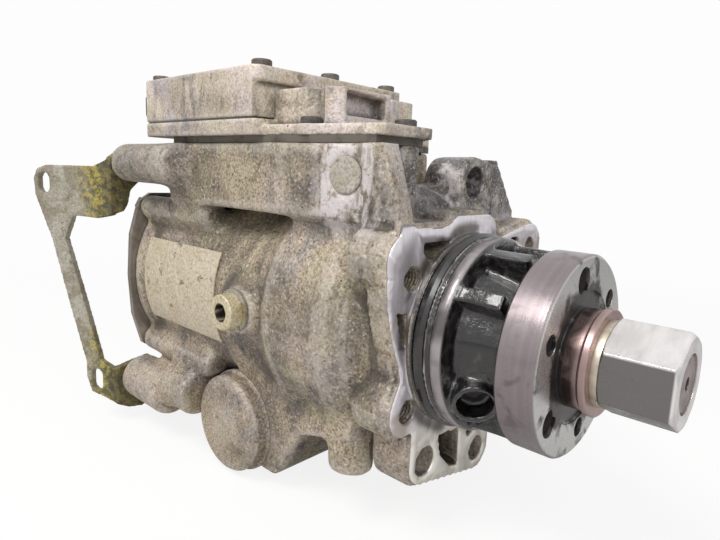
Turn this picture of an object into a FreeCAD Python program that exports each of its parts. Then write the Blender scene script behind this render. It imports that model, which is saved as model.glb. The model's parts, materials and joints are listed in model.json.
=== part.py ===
import FreeCAD, Part
import math
import os

import Sketcher
from FreeCAD import Placement, Rotation, Vector

# Electronically controlled radial piston distributor injection pump, four outlets.
# Millimetres. The pump shaft runs along X, with the drive end at +X and +Z up.
# The origin is where the shaft axis meets the machined mounting face of the flange.
# A place named "at" or "start" is measured back from that face, so it counts towards -X.

SIZES = {
    # clearances
    "running_fit": 0.03,
    "sliding_fit": 0.05,
    "seat_gap": 0.1,
    # mounting flange, its lobes and its holes
    "flange_thickness": 20.0,
    "flange_step": 3.0,
    "flange_cast_growth": 1.8,
    "flange_disc_radius": 46.5,
    "flange_web_radius": 33.5,
    "crown_radius": 9.0,
    "crown_height": 41.5,
    "crown_half_width": 8.5,
    "ear_corner_radius": 12.0,
    "ear_corner_side": 44.0,
    "ear_corner_height": 33.0,
    "ear_tap_side": 40.3,
    "ear_tap_height": 26.6,
    "low_ear_radius": 11.0,
    "low_ear_side": 38.7,
    "low_ear_height": 28.8,
    "foot_radius": 10.5,
    "foot_side": 24.0,
    "foot_height": 56.0,
    "toe_side": 19.0,
    "toe_height": 65.0,
    "far_ear_side": 56.0,
    "far_ear_height": 33.0,
    "tapped_hole_radius": 5.0,
    "tapped_hole_depth": 18.0,
    "foot_hole_radius": 6.8,
    "toe_hole_radius": 6.3,
    "flange_pocket_depth": 13.0,
    # pilot, seal groove and neck
    "pilot_radius": 42.0,
    "pilot_length": 16.0,
    "groove_start": 2.6,
    "groove_width": 5.2,
    "groove_depth": 3.8,
    "relief_width": 2.8,
    "relief_depth": 1.4,
    "land_width": 0.7,
    "o_ring_section": 2.5,
    "neck_root_radius": 33.0,
    "neck_end_radius": 28.0,
    "neck_end": 34.0,
    "neck_rib_width": 6.5,
    "neck_rib_radius": 40.0,
    "neck_rib_spread": 36.0,
    "lock_boss_radius": 9.2,
    "lock_bore_radius": 7.0,
    "lock_bore_depth": 8.0,
    # barrel of the housing and its bores
    "barrel_front_radius": 62.0,
    "barrel_rear_radius": 57.5,
    "barrel_step_at": 72.0,
    "barrel_shoulder_at": 30.0,
    "barrel_length": 196.0,
    "rear_rim_radius": 60.0,
    "rear_rim_width": 6.0,
    "main_bore_radius": 51.0,
    "main_bore_start": 50.0,
    "vane_bore_radius": 40.0,
    "vane_bore_start": 20.0,
    "bush_outer_radius": 19.0,
    "seal_radius": 21.0,
    "seal_depth": 14.0,
    "seal_width": 10.0,
    "shaft_passage_radius": 16.5,
    # upper casting that carries the control unit
    "deck_height": 78.0,
    "deck_side": 57.0,
    "deck_front_side": 49.0,
    "deck_far_side": 40.0,
    "deck_rear": 157.0,
    "deck_front": 16.0,
    "deck_knee": 62.0,
    "deck_underside": 47.0,
    "deck_well_depth": 15.0,
    "deck_well_margin": 13.0,
    "gusset_width": 9.5,
    "screw_boss_radius": 6.0,
    "shelf_bottom": 30.0,
    "shelf_height": 18.0,
    "shelf_front": 2.0,
    "shelf_far_side": 26.0,
    "lug_radius": 12.2,
    "lug_hole_radius": 7.5,
    "lug_side": 22.4,
    "lug_height": 63.8,
    "lug_front": 14.0,
    "lug_length": 22.0,
    "lug_web_thickness": 8.0,
    # cast bosses, stubs and ports
    "upper_stub_radius": 11.0,
    "upper_stub_side": 60.0,
    "upper_stub_drop": 11.5,
    "lower_stub_radius": 13.5,
    "lower_stub_side": 55.0,
    "lower_stub_height": 66.0,
    "lower_boss_side": 52.0,
    "lower_boss_height": 58.0,
    "lower_boss_start": 132.0,
    "keel_nose_top": 29.0,
    "keel_nose_bottom": 48.0,
    "keel_knee": 58.0,
    "keel_toe_drop": 19.0,
    "lower_boss_end": 158.0,
    "stub_proud": 4.0,
    "upper_stub_root": 140.0,
    "stub_groove_width": 2.5,
    "head_boss_radius": 7.0,
    "head_boss_side": 49.0,
    "head_boss_height": 41.0,
    "head_boss_root": 124.0,
    "foot_boss_radius": 10.5,
    "foot_boss_at": 33.0,
    "foot_boss_side": 36.0,
    "foot_boss_end": 67.0,
    "plug_boss_radius": 11.5,
    "plug_boss_face": 64.5,
    "plug_at": 84.0,
    "plug_height": 1.0,
    "plug_thread_radius": 7.0,
    "plug_thread_length": 11.0,
    "plug_head_radius": 8.4,
    "plug_head_height": 6.5,
    "plug_key": 8.0,
    "plug_washer_radius": 10.2,
    "plug_washer_thickness": 1.5,
    "core_plug_radius": 7.5,
    "core_plug_at": 28.5,
    "core_plug_drop": 12.7,
    "core_plug_proud": 0.4,
    "core_plug_thickness": 5.2,
    "inlet_at": 40.0,
    "inlet_drop": 20.0,
    "inlet_boss_radius": 11.0,
    "inlet_face": 66.0,
    "inlet_bore_radius": 7.0,
    "inlet_bore_depth": 14.0,
    # bare type plate on the near side
    "nameplate_start": 112.0,
    "nameplate_rear_margin": 10.0,
    "nameplate_half_angle": 24.0,
    "nameplate_thickness": 0.8,
    # drive shaft, hub and nut
    "shaft_radius": 15.0,
    "shaft_taper_start": 36.0,
    "shaft_taper_end": 60.0,
    "shaft_taper_end_radius": 11.5,
    "shaft_thread_radius": 11.0,
    "shaft_end": 89.0,
    "centre_hole_radius": 2.5,
    "centre_hole_depth": 6.0,
    "cage_front": 84.0,
    "cage_slot_play": 0.2,
    "cage_inner_radius": 25.4,
    "cage_outer_radius": 33.5,
    "cage_disc_thickness": 6.5,
    "key_start": 43.0,
    "key_length": 10.0,
    "key_width": 4.0,
    "key_bottom": 10.5,
    "key_top": 15.8,
    "hub_radius": 40.0,
    "hub_rear": 37.1,
    "hub_thickness": 15.5,
    "hub_edge_chamfer": 1.0,
    "hub_collar_radius": 20.8,
    "hub_collar_step_radius": 19.6,
    "hub_collar_length": 9.5,
    "hub_collar_bead": 3.5,
    "hub_hole_circle": 31.0,
    "hub_hole_first_angle": 10.0,
    "hub_hole_radius": 5.4,
    "hub_tap_radius": 4.0,
    "hub_recess_radius": 26.5,
    "hub_recess_depth": 1.2,
    "hub_washer_radius": 16.8,
    "hub_washer_thickness": 2.6,
    "nut_across_flats": 32.0,
    "nut_length": 24.8,
    "nut_chamfer": 2.0,
    "bush_length": 32.0,
    # vane type feed pump
    "vane_width": 18.0,
    "vane_rotor_radius": 24.0,
    "vane_tip_radius": 25.2,
    "vane_root_radius": 16.6,
    "vane_ring_radius": 28.3,
    "vane_ring_offset": 2.8,
    "vane_thickness": 3.0,
    "port_plate_thickness": 9.0,
    # angle sensing
    "angle_wheel_at": 59.0,
    "angle_wheel_radius": 33.0,
    "angle_wheel_thickness": 3.0,
    "angle_wheel_tooth_depth": 2.5,
    "sensor_start": 56.0,
    "sensor_width": 12.0,
    "sensor_length": 10.0,
    "sensor_air_gap": 0.6,
    "sensor_sleeve_inner": 44.2,
    "sensor_sleeve_outer": 50.5,
    # cam ring, rollers and plungers
    "cam_at": 107.0,
    "cam_width": 24.0,
    "cam_ring_bore": 43.4,
    "cam_pocket_radius": 34.0,
    "cam_pocket_shift": 12.4,
    "roller_radius": 6.0,
    "roller_length": 16.0,
    "roller_circle": 37.2,
    "shoe_bottom": 25.6,
    "shoe_top": 34.5,
    "shoe_width": 12.0,
    "plunger_radius": 3.5,
    "plunger_bottom": 8.0,
    # distributor
    "rotor_head_radius": 25.0,
    "rotor_head_front": 93.0,
    "rotor_head_length": 24.0,
    "rotor_radius": 11.0,
    "rotor_rear_margin": 7.0,
    "needle_radius": 3.0,
    "sleeve_radius": 19.0,
    "sleeve_start": 127.0,
    "sleeve_rear_margin": 8.0,
    "head_hub_radius": 30.0,
    "head_hub_front": 126.0,
    "head_flange_thickness": 22.0,
    "head_seal_margin": 10.0,
    "head_seal_section": 1.5,
    "plate_thickness": 3.5,
    "plate_half_width": 62.5,
    "plate_half_height": 49.0,
    "plate_bolt_radius": 3.0,
    "plate_bolt_length": 18.0,
    "plate_bolt_hex": 10.0,
    "plate_bolt_head": 4.5,
    # metering solenoid behind the head
    "solenoid_radius": 19.0,
    "solenoid_length": 36.0,
    "solenoid_wall": 4.0,
    "armature_radius": 9.0,
    "armature_length": 8.2,
    "armature_gap": 10.0,
    "needle_lift": 0.3,
    "coil_length": 14.9,
    # outlets
    "outlet_circle": 32.0,
    "outlet_thread_radius": 7.0,
    "outlet_thread_length": 18.0,
    "outlet_hex": 17.0,
    "outlet_hex_length": 8.0,
    "outlet_nose_radius": 6.0,
    "outlet_length": 24.0,
    "outlet_passage_radius": 1.5,
    "valve_radius": 2.8,
    "valve_length": 8.0,
    "valve_lift": 1.0,
    "valve_spring_length": 11.8,
    "valve_spring_radius": 2.4,
    "valve_spring_wire": 0.35,
    "valve_spring_turns": 5.0,
    # timing device across the bottom
    "timing_wall": 2.03,
    "timing_piston_radius": 13.97,
    "timing_piston_length": 52.0,
    "timing_block_radius": 22.5,
    "timing_block_half": 43.0,
    "timing_cap_radius": 25.5,
    "timing_cap_length": 13.0,
    "timing_cap_crown": 9.5,
    "timing_lip_radius": 27.0,
    "timing_lip_width": 3.5,
    "timing_spigot_radius": 17.5,
    "timing_spigot_length": 6.0,
    "timing_seal_section": 1.5,
    "timing_ball_radius": 5.0,
    "timing_neck_radius": 3.5,
    "timing_pin_depth": 4.8,
    "timing_stroke": 7.0,
    "timing_spring_bore": 8.0,
    "timing_spring_depth": 18.0,
    "timing_spring_wire": 1.1,
    "timing_spring_turns": 6.0,
    "timing_solenoid_radius": 11.0,
    "timing_solenoid_length": 29.0,
    "timing_solenoid_side": 20.0,
    "valve_stub_radius": 5.0,
    "valve_stub_length": 6.0,
    "overflow_at": 60.0,
    "overflow_height": 20.0,
    "overflow_length": 15.0,
    "overflow_stub": 8.0,
    "overflow_bore_radius": 2.5,
    "overflow_bore_depth": 12.0,
    # control unit on the deck
    "gasket_thickness": 3.2,
    "unit_rear": 178.5,
    "unit_front": 76.0,
    "unit_side": 60.0,
    "unit_far_side": 41.0,
    "unit_corner_radius": 5.0,
    "unit_base_height": 7.0,
    "unit_seal_thickness": 0.8,
    "unit_cover_height": 22.0,
    "unit_rim_height": 6.5,
    "unit_recess": 3.0,
    "unit_wall": 3.0,
    "unit_tongue_front": 12.0,
    "unit_tongue_height": 4.5,
    "lump_length": 37.5,
    "lump_inset": 13.0,
    "lump_width": 40.0,
    "lump_chamfer": 7.0,
    "lump_pocket_depth": 6.0,
    "lump_top": 13.3,
    "far_lump_top": 13.0,
    "far_lump_width": 25.0,
    "screw_thread_radius": 2.5,
    "lid_screw_radius": 2.0,
    "screw_head_radius": 4.6,
    "screw_head_height": 3.0,
    "screw_length": 12.0,
    "screw_key": 4.0,
    "board_thickness": 1.6,
    "connector_side": 52.0,
    "connector_width": 40.0,
    "connector_height": 14.0,
    "connector_length": 13.5,
    "connector_wall": 2.0,
    "connector_depth": 10.0,
    "connector_pin_side": 1.0,
    # rear support bracket
    "bracket_thickness": 4.5,
    "bracket_bolt_radius": 4.0,
    "bracket_bolt_length": 20.0,
    "bracket_bolt_hex": 13.0,
    "bracket_bolt_head": 5.3,
    "bracket_leg_angle": 60.0,
    "bracket_bend_side": 69.5,
    "bracket_slot_width": 7.6,
}


class Size(float):
    """A number together with the sheet formula that gives it."""

    def __new__(cls, number, formula):
        value = float.__new__(cls, number)
        value.formula = formula
        return value

    def _joined(self, other, number, sign, swapped=False):
        pair = (formula_of(other), self.formula) if swapped else (self.formula, formula_of(other))
        return Size(number, "(%s %s %s)" % (pair[0], sign, pair[1]))

    def __add__(self, other):
        return self._joined(other, float(self) + float(other), "+")

    def __radd__(self, other):
        return self._joined(other, float(other) + float(self), "+", True)

    def __sub__(self, other):
        return self._joined(other, float(self) - float(other), "-")

    def __rsub__(self, other):
        return self._joined(other, float(other) - float(self), "-", True)

    def __mul__(self, other):
        return self._joined(other, float(self) * float(other), "*")

    def __rmul__(self, other):
        return self._joined(other, float(other) * float(self), "*", True)

    def __truediv__(self, other):
        return self._joined(other, float(self) / float(other), "/")

    def __neg__(self):
        return Size(-float(self), "(0 - %s)" % self.formula)


def formula_of(value):
    """The text that a property or a constraint is bound to."""
    return value.formula if isinstance(value, Size) else "%.6f" % value


doc = FreeCAD.newDocument("InjectionPump")
sheet = doc.addObject("Spreadsheet::Sheet", "Sizes")


class Sizes:
    """The driving sizes, one row of the sheet each."""

    def __init__(self, table):
        for row, (alias, number) in enumerate(table.items(), start=1):
            sheet.set("A%d" % row, alias.replace("_", " "))
            sheet.set("B%d" % row, str(number))
            sheet.setAlias("B%d" % row, alias)
            setattr(self, alias, Size(number, "Sizes." + alias))


S = Sizes(SIZES)

# places that follow from the sizes
stub_end = S.barrel_length + S.stub_proud
timing_height = S.main_bore_radius + S.timing_wall + S.timing_piston_radius
upper_stub_height = S.deck_height - S.upper_stub_drop
core_plug_height = S.deck_height - S.core_plug_drop
nameplate_end = S.barrel_length - S.nameplate_rear_margin
rotor_end = S.barrel_length - S.rotor_rear_margin
sleeve_end = S.barrel_length - S.sleeve_rear_margin
head_flange_front = S.barrel_length - S.head_flange_thickness
head_seal_at = S.barrel_length - S.head_seal_margin
armature_start = S.barrel_length + S.armature_gap

# the core plug stands square to the tapered side of the deck
taper_run = S.deck_knee - S.deck_front
taper_rise = S.deck_side - S.deck_front_side
taper_length = (taper_run * taper_run + taper_rise * taper_rise) ** 0.5
core_plug_depth = S.core_plug_thickness - S.core_plug_proud
core_plug_wall = -S.deck_front_side - (S.core_plug_at - S.deck_front) * taper_rise / taper_run
core_plug_root = (
    -S.core_plug_at - core_plug_depth * taper_rise / taper_length,
    core_plug_wall + core_plug_depth * taper_run / taper_length, core_plug_height)
core_plug_way = Vector(float(taper_rise), -float(taper_run), 0)
doc.recompute()

NODES = []

ROLLERS = 4
VANES = 4
WHEEL_TEETH = 30
CONTACTS = 9
COIL_STEPS = 12
COIL_SIDES = 6

# where the three screws stand that hold the base of the control unit, as x and y
UNIT_SCREWS = ((-20.0, -25.0), (-58.0, 33.0), (-52.0, -48.5))


def bind(thing, prop, value):
    """Set a property and tie it to the sheet."""
    if isinstance(value, Size):
        thing.setExpression(prop, value.formula)
    else:
        setattr(thing, prop, value)


def place(thing, x=0.0, y=0.0, z=0.0, turn=None):
    """Put a piece where the sheet says, turned as given."""
    rotation = turn or Rotation()
    thing.Placement = Placement(Vector(float(x), float(y), float(z)), rotation)
    for axis, value in (("x", x), ("y", y), ("z", z)):
        if isinstance(value, Size):
            thing.setExpression("Placement.Base." + axis, value.formula)


# A piece modelled along its own X axis is turned so that X points where the name says.
TOWARDS = {
    "+X": Rotation(),
    "-X": Rotation(Vector(0, 0, 1), 180),
    "-Y": Rotation(Vector(0, 0, 1), -90),
    "+Y": Rotation(Vector(0, 0, 1), 90),
    "+Z": Rotation(Vector(0, 1, 0), -90),
    "-Z": Rotation(Vector(0, 1, 0), 90),
}


PLANES = {
    "XY": Rotation(Vector(1, 0, 0), Vector(0, 1, 0), Vector(0, 0, 1), "XYZ"),
    "XZ": Rotation(Vector(1, 0, 0), Vector(0, 0, 1), Vector(0, -1, 0), "XYZ"),
    "YZ": Rotation(Vector(0, 1, 0), Vector(0, 0, 1), Vector(1, 0, 0), "XYZ"),
}


class Outline:
    """A fully constrained closed sketch, on a body's own plane or free in space for a casting."""

    def __init__(self, owner, plane, level=0.0, roll=0.0):
        if owner is None:
            self.sketch = doc.addObject("Sketcher::SketchObject", "Profile")
            turned = Rotation(Vector(1, 0, 0), float(roll)) * PLANES[plane]
            normal = turned.multVec(Vector(0, 0, 1))
            self.sketch.Placement = Placement(normal * float(level), turned)
            if isinstance(level, Size):
                for axis, part in (("x", normal.x), ("y", normal.y), ("z", normal.z)):
                    self.sketch.setExpression("Placement.Base." + axis, (level * part).formula)
            return
        self.sketch = owner.newObject("Sketcher::SketchObject", owner.Name + "Sketch")
        support = [f for f in owner.Origin.OriginFeatures if f.Role == plane + "_Plane"][0]
        self.sketch.AttachmentSupport = [(support, "")]
        self.sketch.MapMode = "FlatFace"
        self.sketch.AttachmentOffset = Placement(Vector(0, 0, float(level)), Rotation())
        if isinstance(level, Size):
            self.sketch.setExpression("AttachmentOffset.Base.z", level.formula)

    def _hold(self, kind, values, size):
        """Add a dimension and tie it to the sheet."""
        index = self.sketch.addConstraint(Sketcher.Constraint(kind, *values, float(size)))
        if isinstance(size, Size):
            self.sketch.setExpression("Constraints[%d]" % index, size.formula)

    def _hold_point(self, edge, end, a, b):
        self._hold("DistanceX", (-1, 1, edge, end), a)
        self._hold("DistanceY", (-1, 1, edge, end), b)

    def polygon(self, points):
        """Straight edges through the points, each held from the origin."""
        first = self.sketch.GeometryCount
        count = len(points)
        for i, (a, b) in enumerate(points):
            c, d = points[(i + 1) % count]
            line = Part.LineSegment(Vector(float(a), float(b), 0), Vector(float(c), float(d), 0))
            self.sketch.addGeometry(line, False)
        for i in range(count):
            following = first + (i + 1) % count
            self.sketch.addConstraint(Sketcher.Constraint("Coincident", first + i, 2, following, 1))
        for i, (a, b) in enumerate(points):
            self._hold_point(first + i, 1, a, b)
        return self

    def circle(self, a, b, radius):
        """A full circle."""
        shape = Part.Circle(Vector(float(a), float(b), 0), Vector(0, 0, 1), float(radius))
        edge = self.sketch.addGeometry(shape, False)
        self._hold_point(edge, 3, a, b)
        self._hold("Radius", (edge,), radius)
        return self

    def lobe(self, a, b, r, c, d, q):
        """Two circles of radius r and q wrapped by their outer tangents, as a web between bosses."""
        dx = float(c) - float(a)
        dy = float(d) - float(b)
        heading = math.atan2(dy, dx)
        spread = math.acos((float(r) - float(q)) / math.hypot(dx, dy))
        left = heading + spread
        right = heading - spread

        def on(u, v, radius, angle):
            return Vector(float(u) + float(radius) * math.cos(angle),
                          float(v) + float(radius) * math.sin(angle), 0)

        near = Part.Circle(Vector(float(a), float(b), 0), Vector(0, 0, 1), float(r))
        far = Part.Circle(Vector(float(c), float(d), 0), Vector(0, 0, 1), float(q))
        near_arc = self.sketch.addGeometry(Part.ArcOfCircle(near, left, right + 2 * math.pi), False)
        far_arc = self.sketch.addGeometry(Part.ArcOfCircle(far, right, left), False)
        low = self.sketch.addGeometry(Part.LineSegment(on(a, b, r, right), on(c, d, q, right)), False)
        high = self.sketch.addGeometry(Part.LineSegment(on(c, d, q, left), on(a, b, r, left)), False)
        for pair in ((near_arc, 2, low, 1), (low, 2, far_arc, 1), (far_arc, 2, high, 1), (high, 2, near_arc, 1)):
            self.sketch.addConstraint(Sketcher.Constraint("Tangent", *pair))
        self._hold_point(near_arc, 3, a, b)
        self._hold_point(far_arc, 3, c, d)
        self._hold("Radius", (near_arc,), r)
        self._hold("Radius", (far_arc,), q)
        return self

    def rounded(self, a, b, c, d, r):
        """A rectangle from corner (a, b) to corner (c, d) with corners of radius r."""
        corners = ((c - r, d - r, 0), (a + r, d - r, 90), (a + r, b + r, 180), (c - r, b + r, 270))
        arcs = []
        for u, v, start in corners:
            ring = Part.Circle(Vector(float(u), float(v), 0), Vector(0, 0, 1), float(r))
            arc = Part.ArcOfCircle(ring, math.radians(start), math.radians(start + 90))
            arcs.append(self.sketch.addGeometry(arc, False))
        for i, arc in enumerate(arcs):
            following = arcs[(i + 1) % 4]
            from_point = self.sketch.getPoint(arc, 2)
            to_point = self.sketch.getPoint(following, 1)
            side = self.sketch.addGeometry(Part.LineSegment(from_point, to_point), False)
            self.sketch.addConstraint(Sketcher.Constraint("Tangent", arc, 2, side, 1))
            self.sketch.addConstraint(Sketcher.Constraint("Tangent", side, 2, following, 1))
        for arc, (u, v, _) in zip(arcs, corners):
            self._hold_point(arc, 3, u, v)
            self._hold("Radius", (arc,), r)
        return self


class Piece:
    """One separate piece of the pump: a body built feature by feature."""

    def __init__(self, label, node=True):
        self.body = doc.addObject("PartDesign::Body", label.title().replace("_", ""))
        self.body.Label = label
        if node:
            NODES.append(self.body)

    def sketch(self, plane, level=0.0):
        return Outline(self.body, plane, level)

    def _feature(self, kind, outline):
        feature = self.body.newObject("PartDesign::" + kind, self.body.Name + kind)
        feature.Profile = outline.sketch
        return feature

    def turned(self, points, cut=False, angle=360):
        """Turn a profile of (along, radius) points about the piece's own X axis."""
        outline = self.sketch("XZ").polygon(points)
        feature = self._feature("Groove" if cut else "Revolution", outline)
        feature.ReferenceAxis = (outline.sketch, ["H_Axis"])
        feature.Angle = angle
        return feature

    def pad(self, outline, length, reverse=False):
        """Raise an outline along its plane's normal, or against it."""
        feature = self._feature("Pad", outline)
        bind(feature, "Length", length)
        feature.Reversed = reverse
        return feature

    def cut(self, outline, length, reverse=False):
        """Sink an outline against its plane's normal, or along it when reversed."""
        feature = self._feature("Pocket", outline)
        bind(feature, "Length", length)
        feature.Reversed = reverse
        return feature

    def around(self, feature, count):
        """Repeat a feature evenly about the piece's own X axis."""
        pattern = self.body.newObject("PartDesign::PolarPattern", self.body.Name + "Pattern")
        pattern.Originals = [feature]
        axis = [f for f in self.body.Origin.OriginFeatures if f.Role == "X_Axis"][0]
        pattern.Axis = (axis, [""])
        pattern.Angle = 360
        bind(pattern, "Occurrences", count)
        self.body.Tip = pattern
        return pattern

    def at(self, x=0.0, y=0.0, z=0.0, turn=None):
        place(self.body, x, y, z, turn)
        return self


class Casting:
    """A cast or formed piece: swept outlines joined together, then cut by others."""

    def __init__(self, label):
        self.label = label
        self.solids = []
        self.tools = []

    def sketch(self, plane, level=0.0, roll=0.0):
        return Outline(None, plane, level, roll)

    def oblique(self, x, y, angle, level):
        """An outline on an upright plane through (x, y), turned away from the YZ plane by an angle."""
        outline = Outline(None, "XZ")
        turned = Rotation(Vector(0, 0, 1), 270 - float(angle)) * PLANES["XZ"]
        start = Vector(float(x), float(y), 0) + turned.multVec(Vector(0, 0, float(level)))
        outline.sketch.Placement = Placement(start, turned)
        return outline

    def _swept(self, outline, forward, backward):
        made = doc.addObject("Part::Extrusion", "Swept")
        made.Base = outline.sketch
        made.DirMode = "Normal"
        made.Solid = True
        bind(made, "LengthFwd", forward)
        bind(made, "LengthRev", backward)
        return made

    def turned(self, points, cut=False):
        """Turn a profile of (along, radius) points about the pump axis."""
        made = doc.addObject("Part::Revolution", "Turned")
        made.Source = self.sketch("XZ").polygon(points).sketch
        made.Axis = Vector(1, 0, 0)
        made.Angle = 360
        made.Solid = True
        (self.tools if cut else self.solids).append(made)

    def pad(self, outline, length):
        """Raise an outline along its plane's normal."""
        self.solids.append(self._swept(outline, length, 0))

    def cut(self, outline, length, reverse=False):
        """Sink an outline against its plane's normal, or along it when reversed."""
        made = self._swept(outline, length, 0) if reverse else self._swept(outline, 0, length)
        self.tools.append(made)

    def add(self, solid, cut=False):
        """Take a ready primitive as a solid, or as a tool."""
        (self.tools if cut else self.solids).append(solid)

    def finish(self):
        """Join the solids, cut the tools away and make the node."""
        joined = self.solids[0]
        if len(self.solids) > 1:
            joined = doc.addObject("Part::MultiFuse", "Joined")
            joined.Shapes = self.solids
        result = joined
        if self.tools:
            tool = self.tools[0]
            if len(self.tools) > 1:
                tool = doc.addObject("Part::MultiFuse", "Tools")
                tool.Shapes = self.tools
            result = doc.addObject("Part::Cut", self.label.title().replace("_", ""))
            result.Base = joined
            result.Tool = tool
        result.Label = self.label
        NODES.append(result)
        return result


def group(label, pieces):
    """Identical separate pieces that share one node."""
    made = doc.addObject("Part::Compound", label.title().replace("_", ""))
    made.Label = label
    made.Links = [getattr(piece, "body", piece) for piece in pieces]
    NODES.append(made)
    return made


def rod(name, radius, length, x=0.0, y=0.0, z=0.0, turn=None):
    """A plain cylinder that starts at a point and runs along its turned Z axis."""
    made = doc.addObject("Part::Cylinder", name)
    bind(made, "Radius", radius)
    bind(made, "Height", length)
    place(made, x, y, z, turn)
    return made


def ball(name, radius, x=0.0, y=0.0, z=0.0):
    """A plain sphere."""
    made = doc.addObject("Part::Sphere", name)
    bind(made, "Radius", radius)
    place(made, x, y, z)
    return made


def hexagon(flats, tilt=0.0):
    """Corners of a hexagon that measures flats across its flats."""
    corner = flats / (2 * math.cos(math.radians(30)))
    angles = [math.radians(60 * i + tilt) for i in range(6)]
    return [(corner * math.cos(a), corner * math.sin(a)) for a in angles]


def hex_bolt(label, thread, length, flats, head, node=False):
    """A hexagon head bolt along its own X axis, with its head seat at the origin and its head at +X."""
    piece = Piece(label, node)
    piece.pad(piece.sketch("YZ").polygon(hexagon(flats)), head)
    piece.pad(piece.sketch("YZ", -length).circle(0, 0, thread), length)
    return piece


def socket_screw(label, thread, length, radius, head, key, node=False):
    """A cap screw with a hexagon socket, with its head seat at the origin and its head at +X."""
    piece = Piece(label, node)
    piece.turned([(-length, 0), (-length, thread), (0, thread), (0, radius),
                  (head - 0.5, radius), (head, radius - 0.5), (head, 0)])
    piece.cut(piece.sketch("YZ", head).polygon(hexagon(key)), head * 0.6)
    return piece


# pump housing, one aluminium casting

def flange_lobes(piece, level, length, grow):
    """The lobed flange: a disc, a web to every ear, foot and toe, and the crown on top."""
    ears = (
        (-S.ear_corner_side, S.ear_corner_height, S.ear_corner_radius),
        (-S.low_ear_side, -S.low_ear_height, S.low_ear_radius),
        (-S.foot_side, -S.foot_height, S.foot_radius),
        (S.toe_side, -S.toe_height, S.foot_radius),
        (S.far_ear_side, S.far_ear_height, S.ear_corner_radius),
    )
    for side, height, radius in ears:
        web = piece.sketch("YZ", level).lobe(0, 0, S.flange_web_radius + grow, side, height, radius + grow)
        piece.pad(web, length)
    piece.pad(piece.sketch("YZ", level).circle(0, 0, S.flange_disc_radius + grow), length)
    crown = piece.sketch("YZ", level)
    crown.lobe(-S.crown_half_width, S.crown_height, S.crown_radius + grow,
               S.crown_half_width + 4, S.crown_height, S.crown_radius + grow)
    piece.pad(crown, length)
    bridge = piece.sketch("YZ", level)
    bridge.lobe(-S.foot_side, -S.foot_height, S.foot_radius + grow,
                S.toe_side, -S.toe_height, S.foot_radius + grow)
    piece.pad(bridge, length)


housing = Casting("pump_housing")
groove_end = S.groove_start + S.groove_width
relief_start = groove_end + S.land_width
relief_end = relief_start + S.relief_width
pilot = S.pilot_radius
shoulder = 5.0
housing.turned([
    (-S.barrel_length, 0), (-S.barrel_length, S.rear_rim_radius),
    (S.rear_rim_width - S.barrel_length, S.rear_rim_radius),
    (S.rear_rim_width + 2 - S.barrel_length, S.barrel_rear_radius),
    (-S.barrel_step_at, S.barrel_rear_radius), (shoulder - S.barrel_step_at, S.barrel_front_radius),
    (-S.barrel_shoulder_at, S.barrel_front_radius),
    (shoulder + 4 - S.barrel_shoulder_at, S.barrel_front_radius - shoulder),
    (-S.flange_thickness / 2, S.flange_disc_radius), (0, S.flange_disc_radius), (0, pilot),
    (S.groove_start, pilot), (S.groove_start, pilot - S.groove_depth),
    (groove_end, pilot - S.groove_depth), (groove_end, pilot),
    (relief_start, pilot), (relief_start, pilot - S.relief_depth),
    (relief_end, pilot - S.relief_depth), (relief_end, pilot),
    (S.pilot_length - 1, pilot), (S.pilot_length, pilot - 1), (S.pilot_length, S.neck_root_radius),
    (S.neck_end, S.neck_end_radius), (S.neck_end, 0)])

flange_lobes(housing, -S.flange_step, S.flange_step, 0)
flange_lobes(housing, -S.flange_thickness, S.flange_thickness - S.flange_step, S.flange_cast_growth)

# ribs along the neck, and the bored boss for the shaft locking screw
for turn in (0.5, 1.5, 4.5, 5.5, 8.5, 9.5):
    rib = housing.sketch("XZ", -S.neck_rib_width / 2, S.neck_rib_spread * turn)
    rib.polygon([(S.pilot_length - 2, S.seal_radius + 2), (S.pilot_length - 2, S.neck_rib_radius),
                 (S.neck_end, S.neck_rib_radius - 1), (S.neck_end, S.seal_radius + 2)])
    housing.pad(rib, S.neck_rib_width)
lock_axis = Rotation(Vector(0, 0, 1), Vector(0.55, -0.72, -0.35))
housing.add(rod("LockBoss", S.lock_boss_radius, 13, 18.4, -20.6, -15.4, lock_axis))
lock_floor = 13 - S.lock_bore_depth
housing.add(rod("LockBore", S.lock_bore_radius, S.lock_bore_depth + 1, 18.4 + 0.57 * lock_floor,
                -20.6 - 0.74 * lock_floor, -15.4 - 0.36 * lock_floor, lock_axis), cut=True)

# deck: the raised upper casting, with its tapered front and the gusset down to the flange
inner_side = S.deck_front_side - S.gusset_width
deck_plan = [
    (-S.deck_rear, -S.deck_side), (-S.deck_knee, -S.deck_side), (-S.deck_front, -S.deck_front_side),
    (-S.deck_front, -inner_side), (14 - S.deck_knee, -inner_side),
    (14 - S.deck_knee, 12), (-S.deck_knee, S.deck_far_side), (-S.deck_rear, S.deck_far_side)]
housing.pad(housing.sketch("XY", S.deck_underside).polygon(deck_plan), S.deck_height - S.deck_underside)
gusset = housing.sketch("XZ", inner_side)
gusset.polygon([(-S.deck_front - 2, S.deck_height), (5 - S.deck_front, S.deck_height),
                (-0.5, S.deck_underside), (-0.5, S.shelf_bottom), (-S.deck_front - 2, S.shelf_bottom)])
housing.pad(gusset, S.gusset_width)
shelf = housing.sketch("XY", S.shelf_bottom)
shelf.polygon([(-S.deck_knee, -S.deck_front_side), (-S.shelf_front, 4 - S.deck_front_side),
               (-S.shelf_front, S.shelf_far_side), (-S.deck_knee, S.deck_far_side - 2)])
housing.pad(shelf, S.shelf_height)

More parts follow.
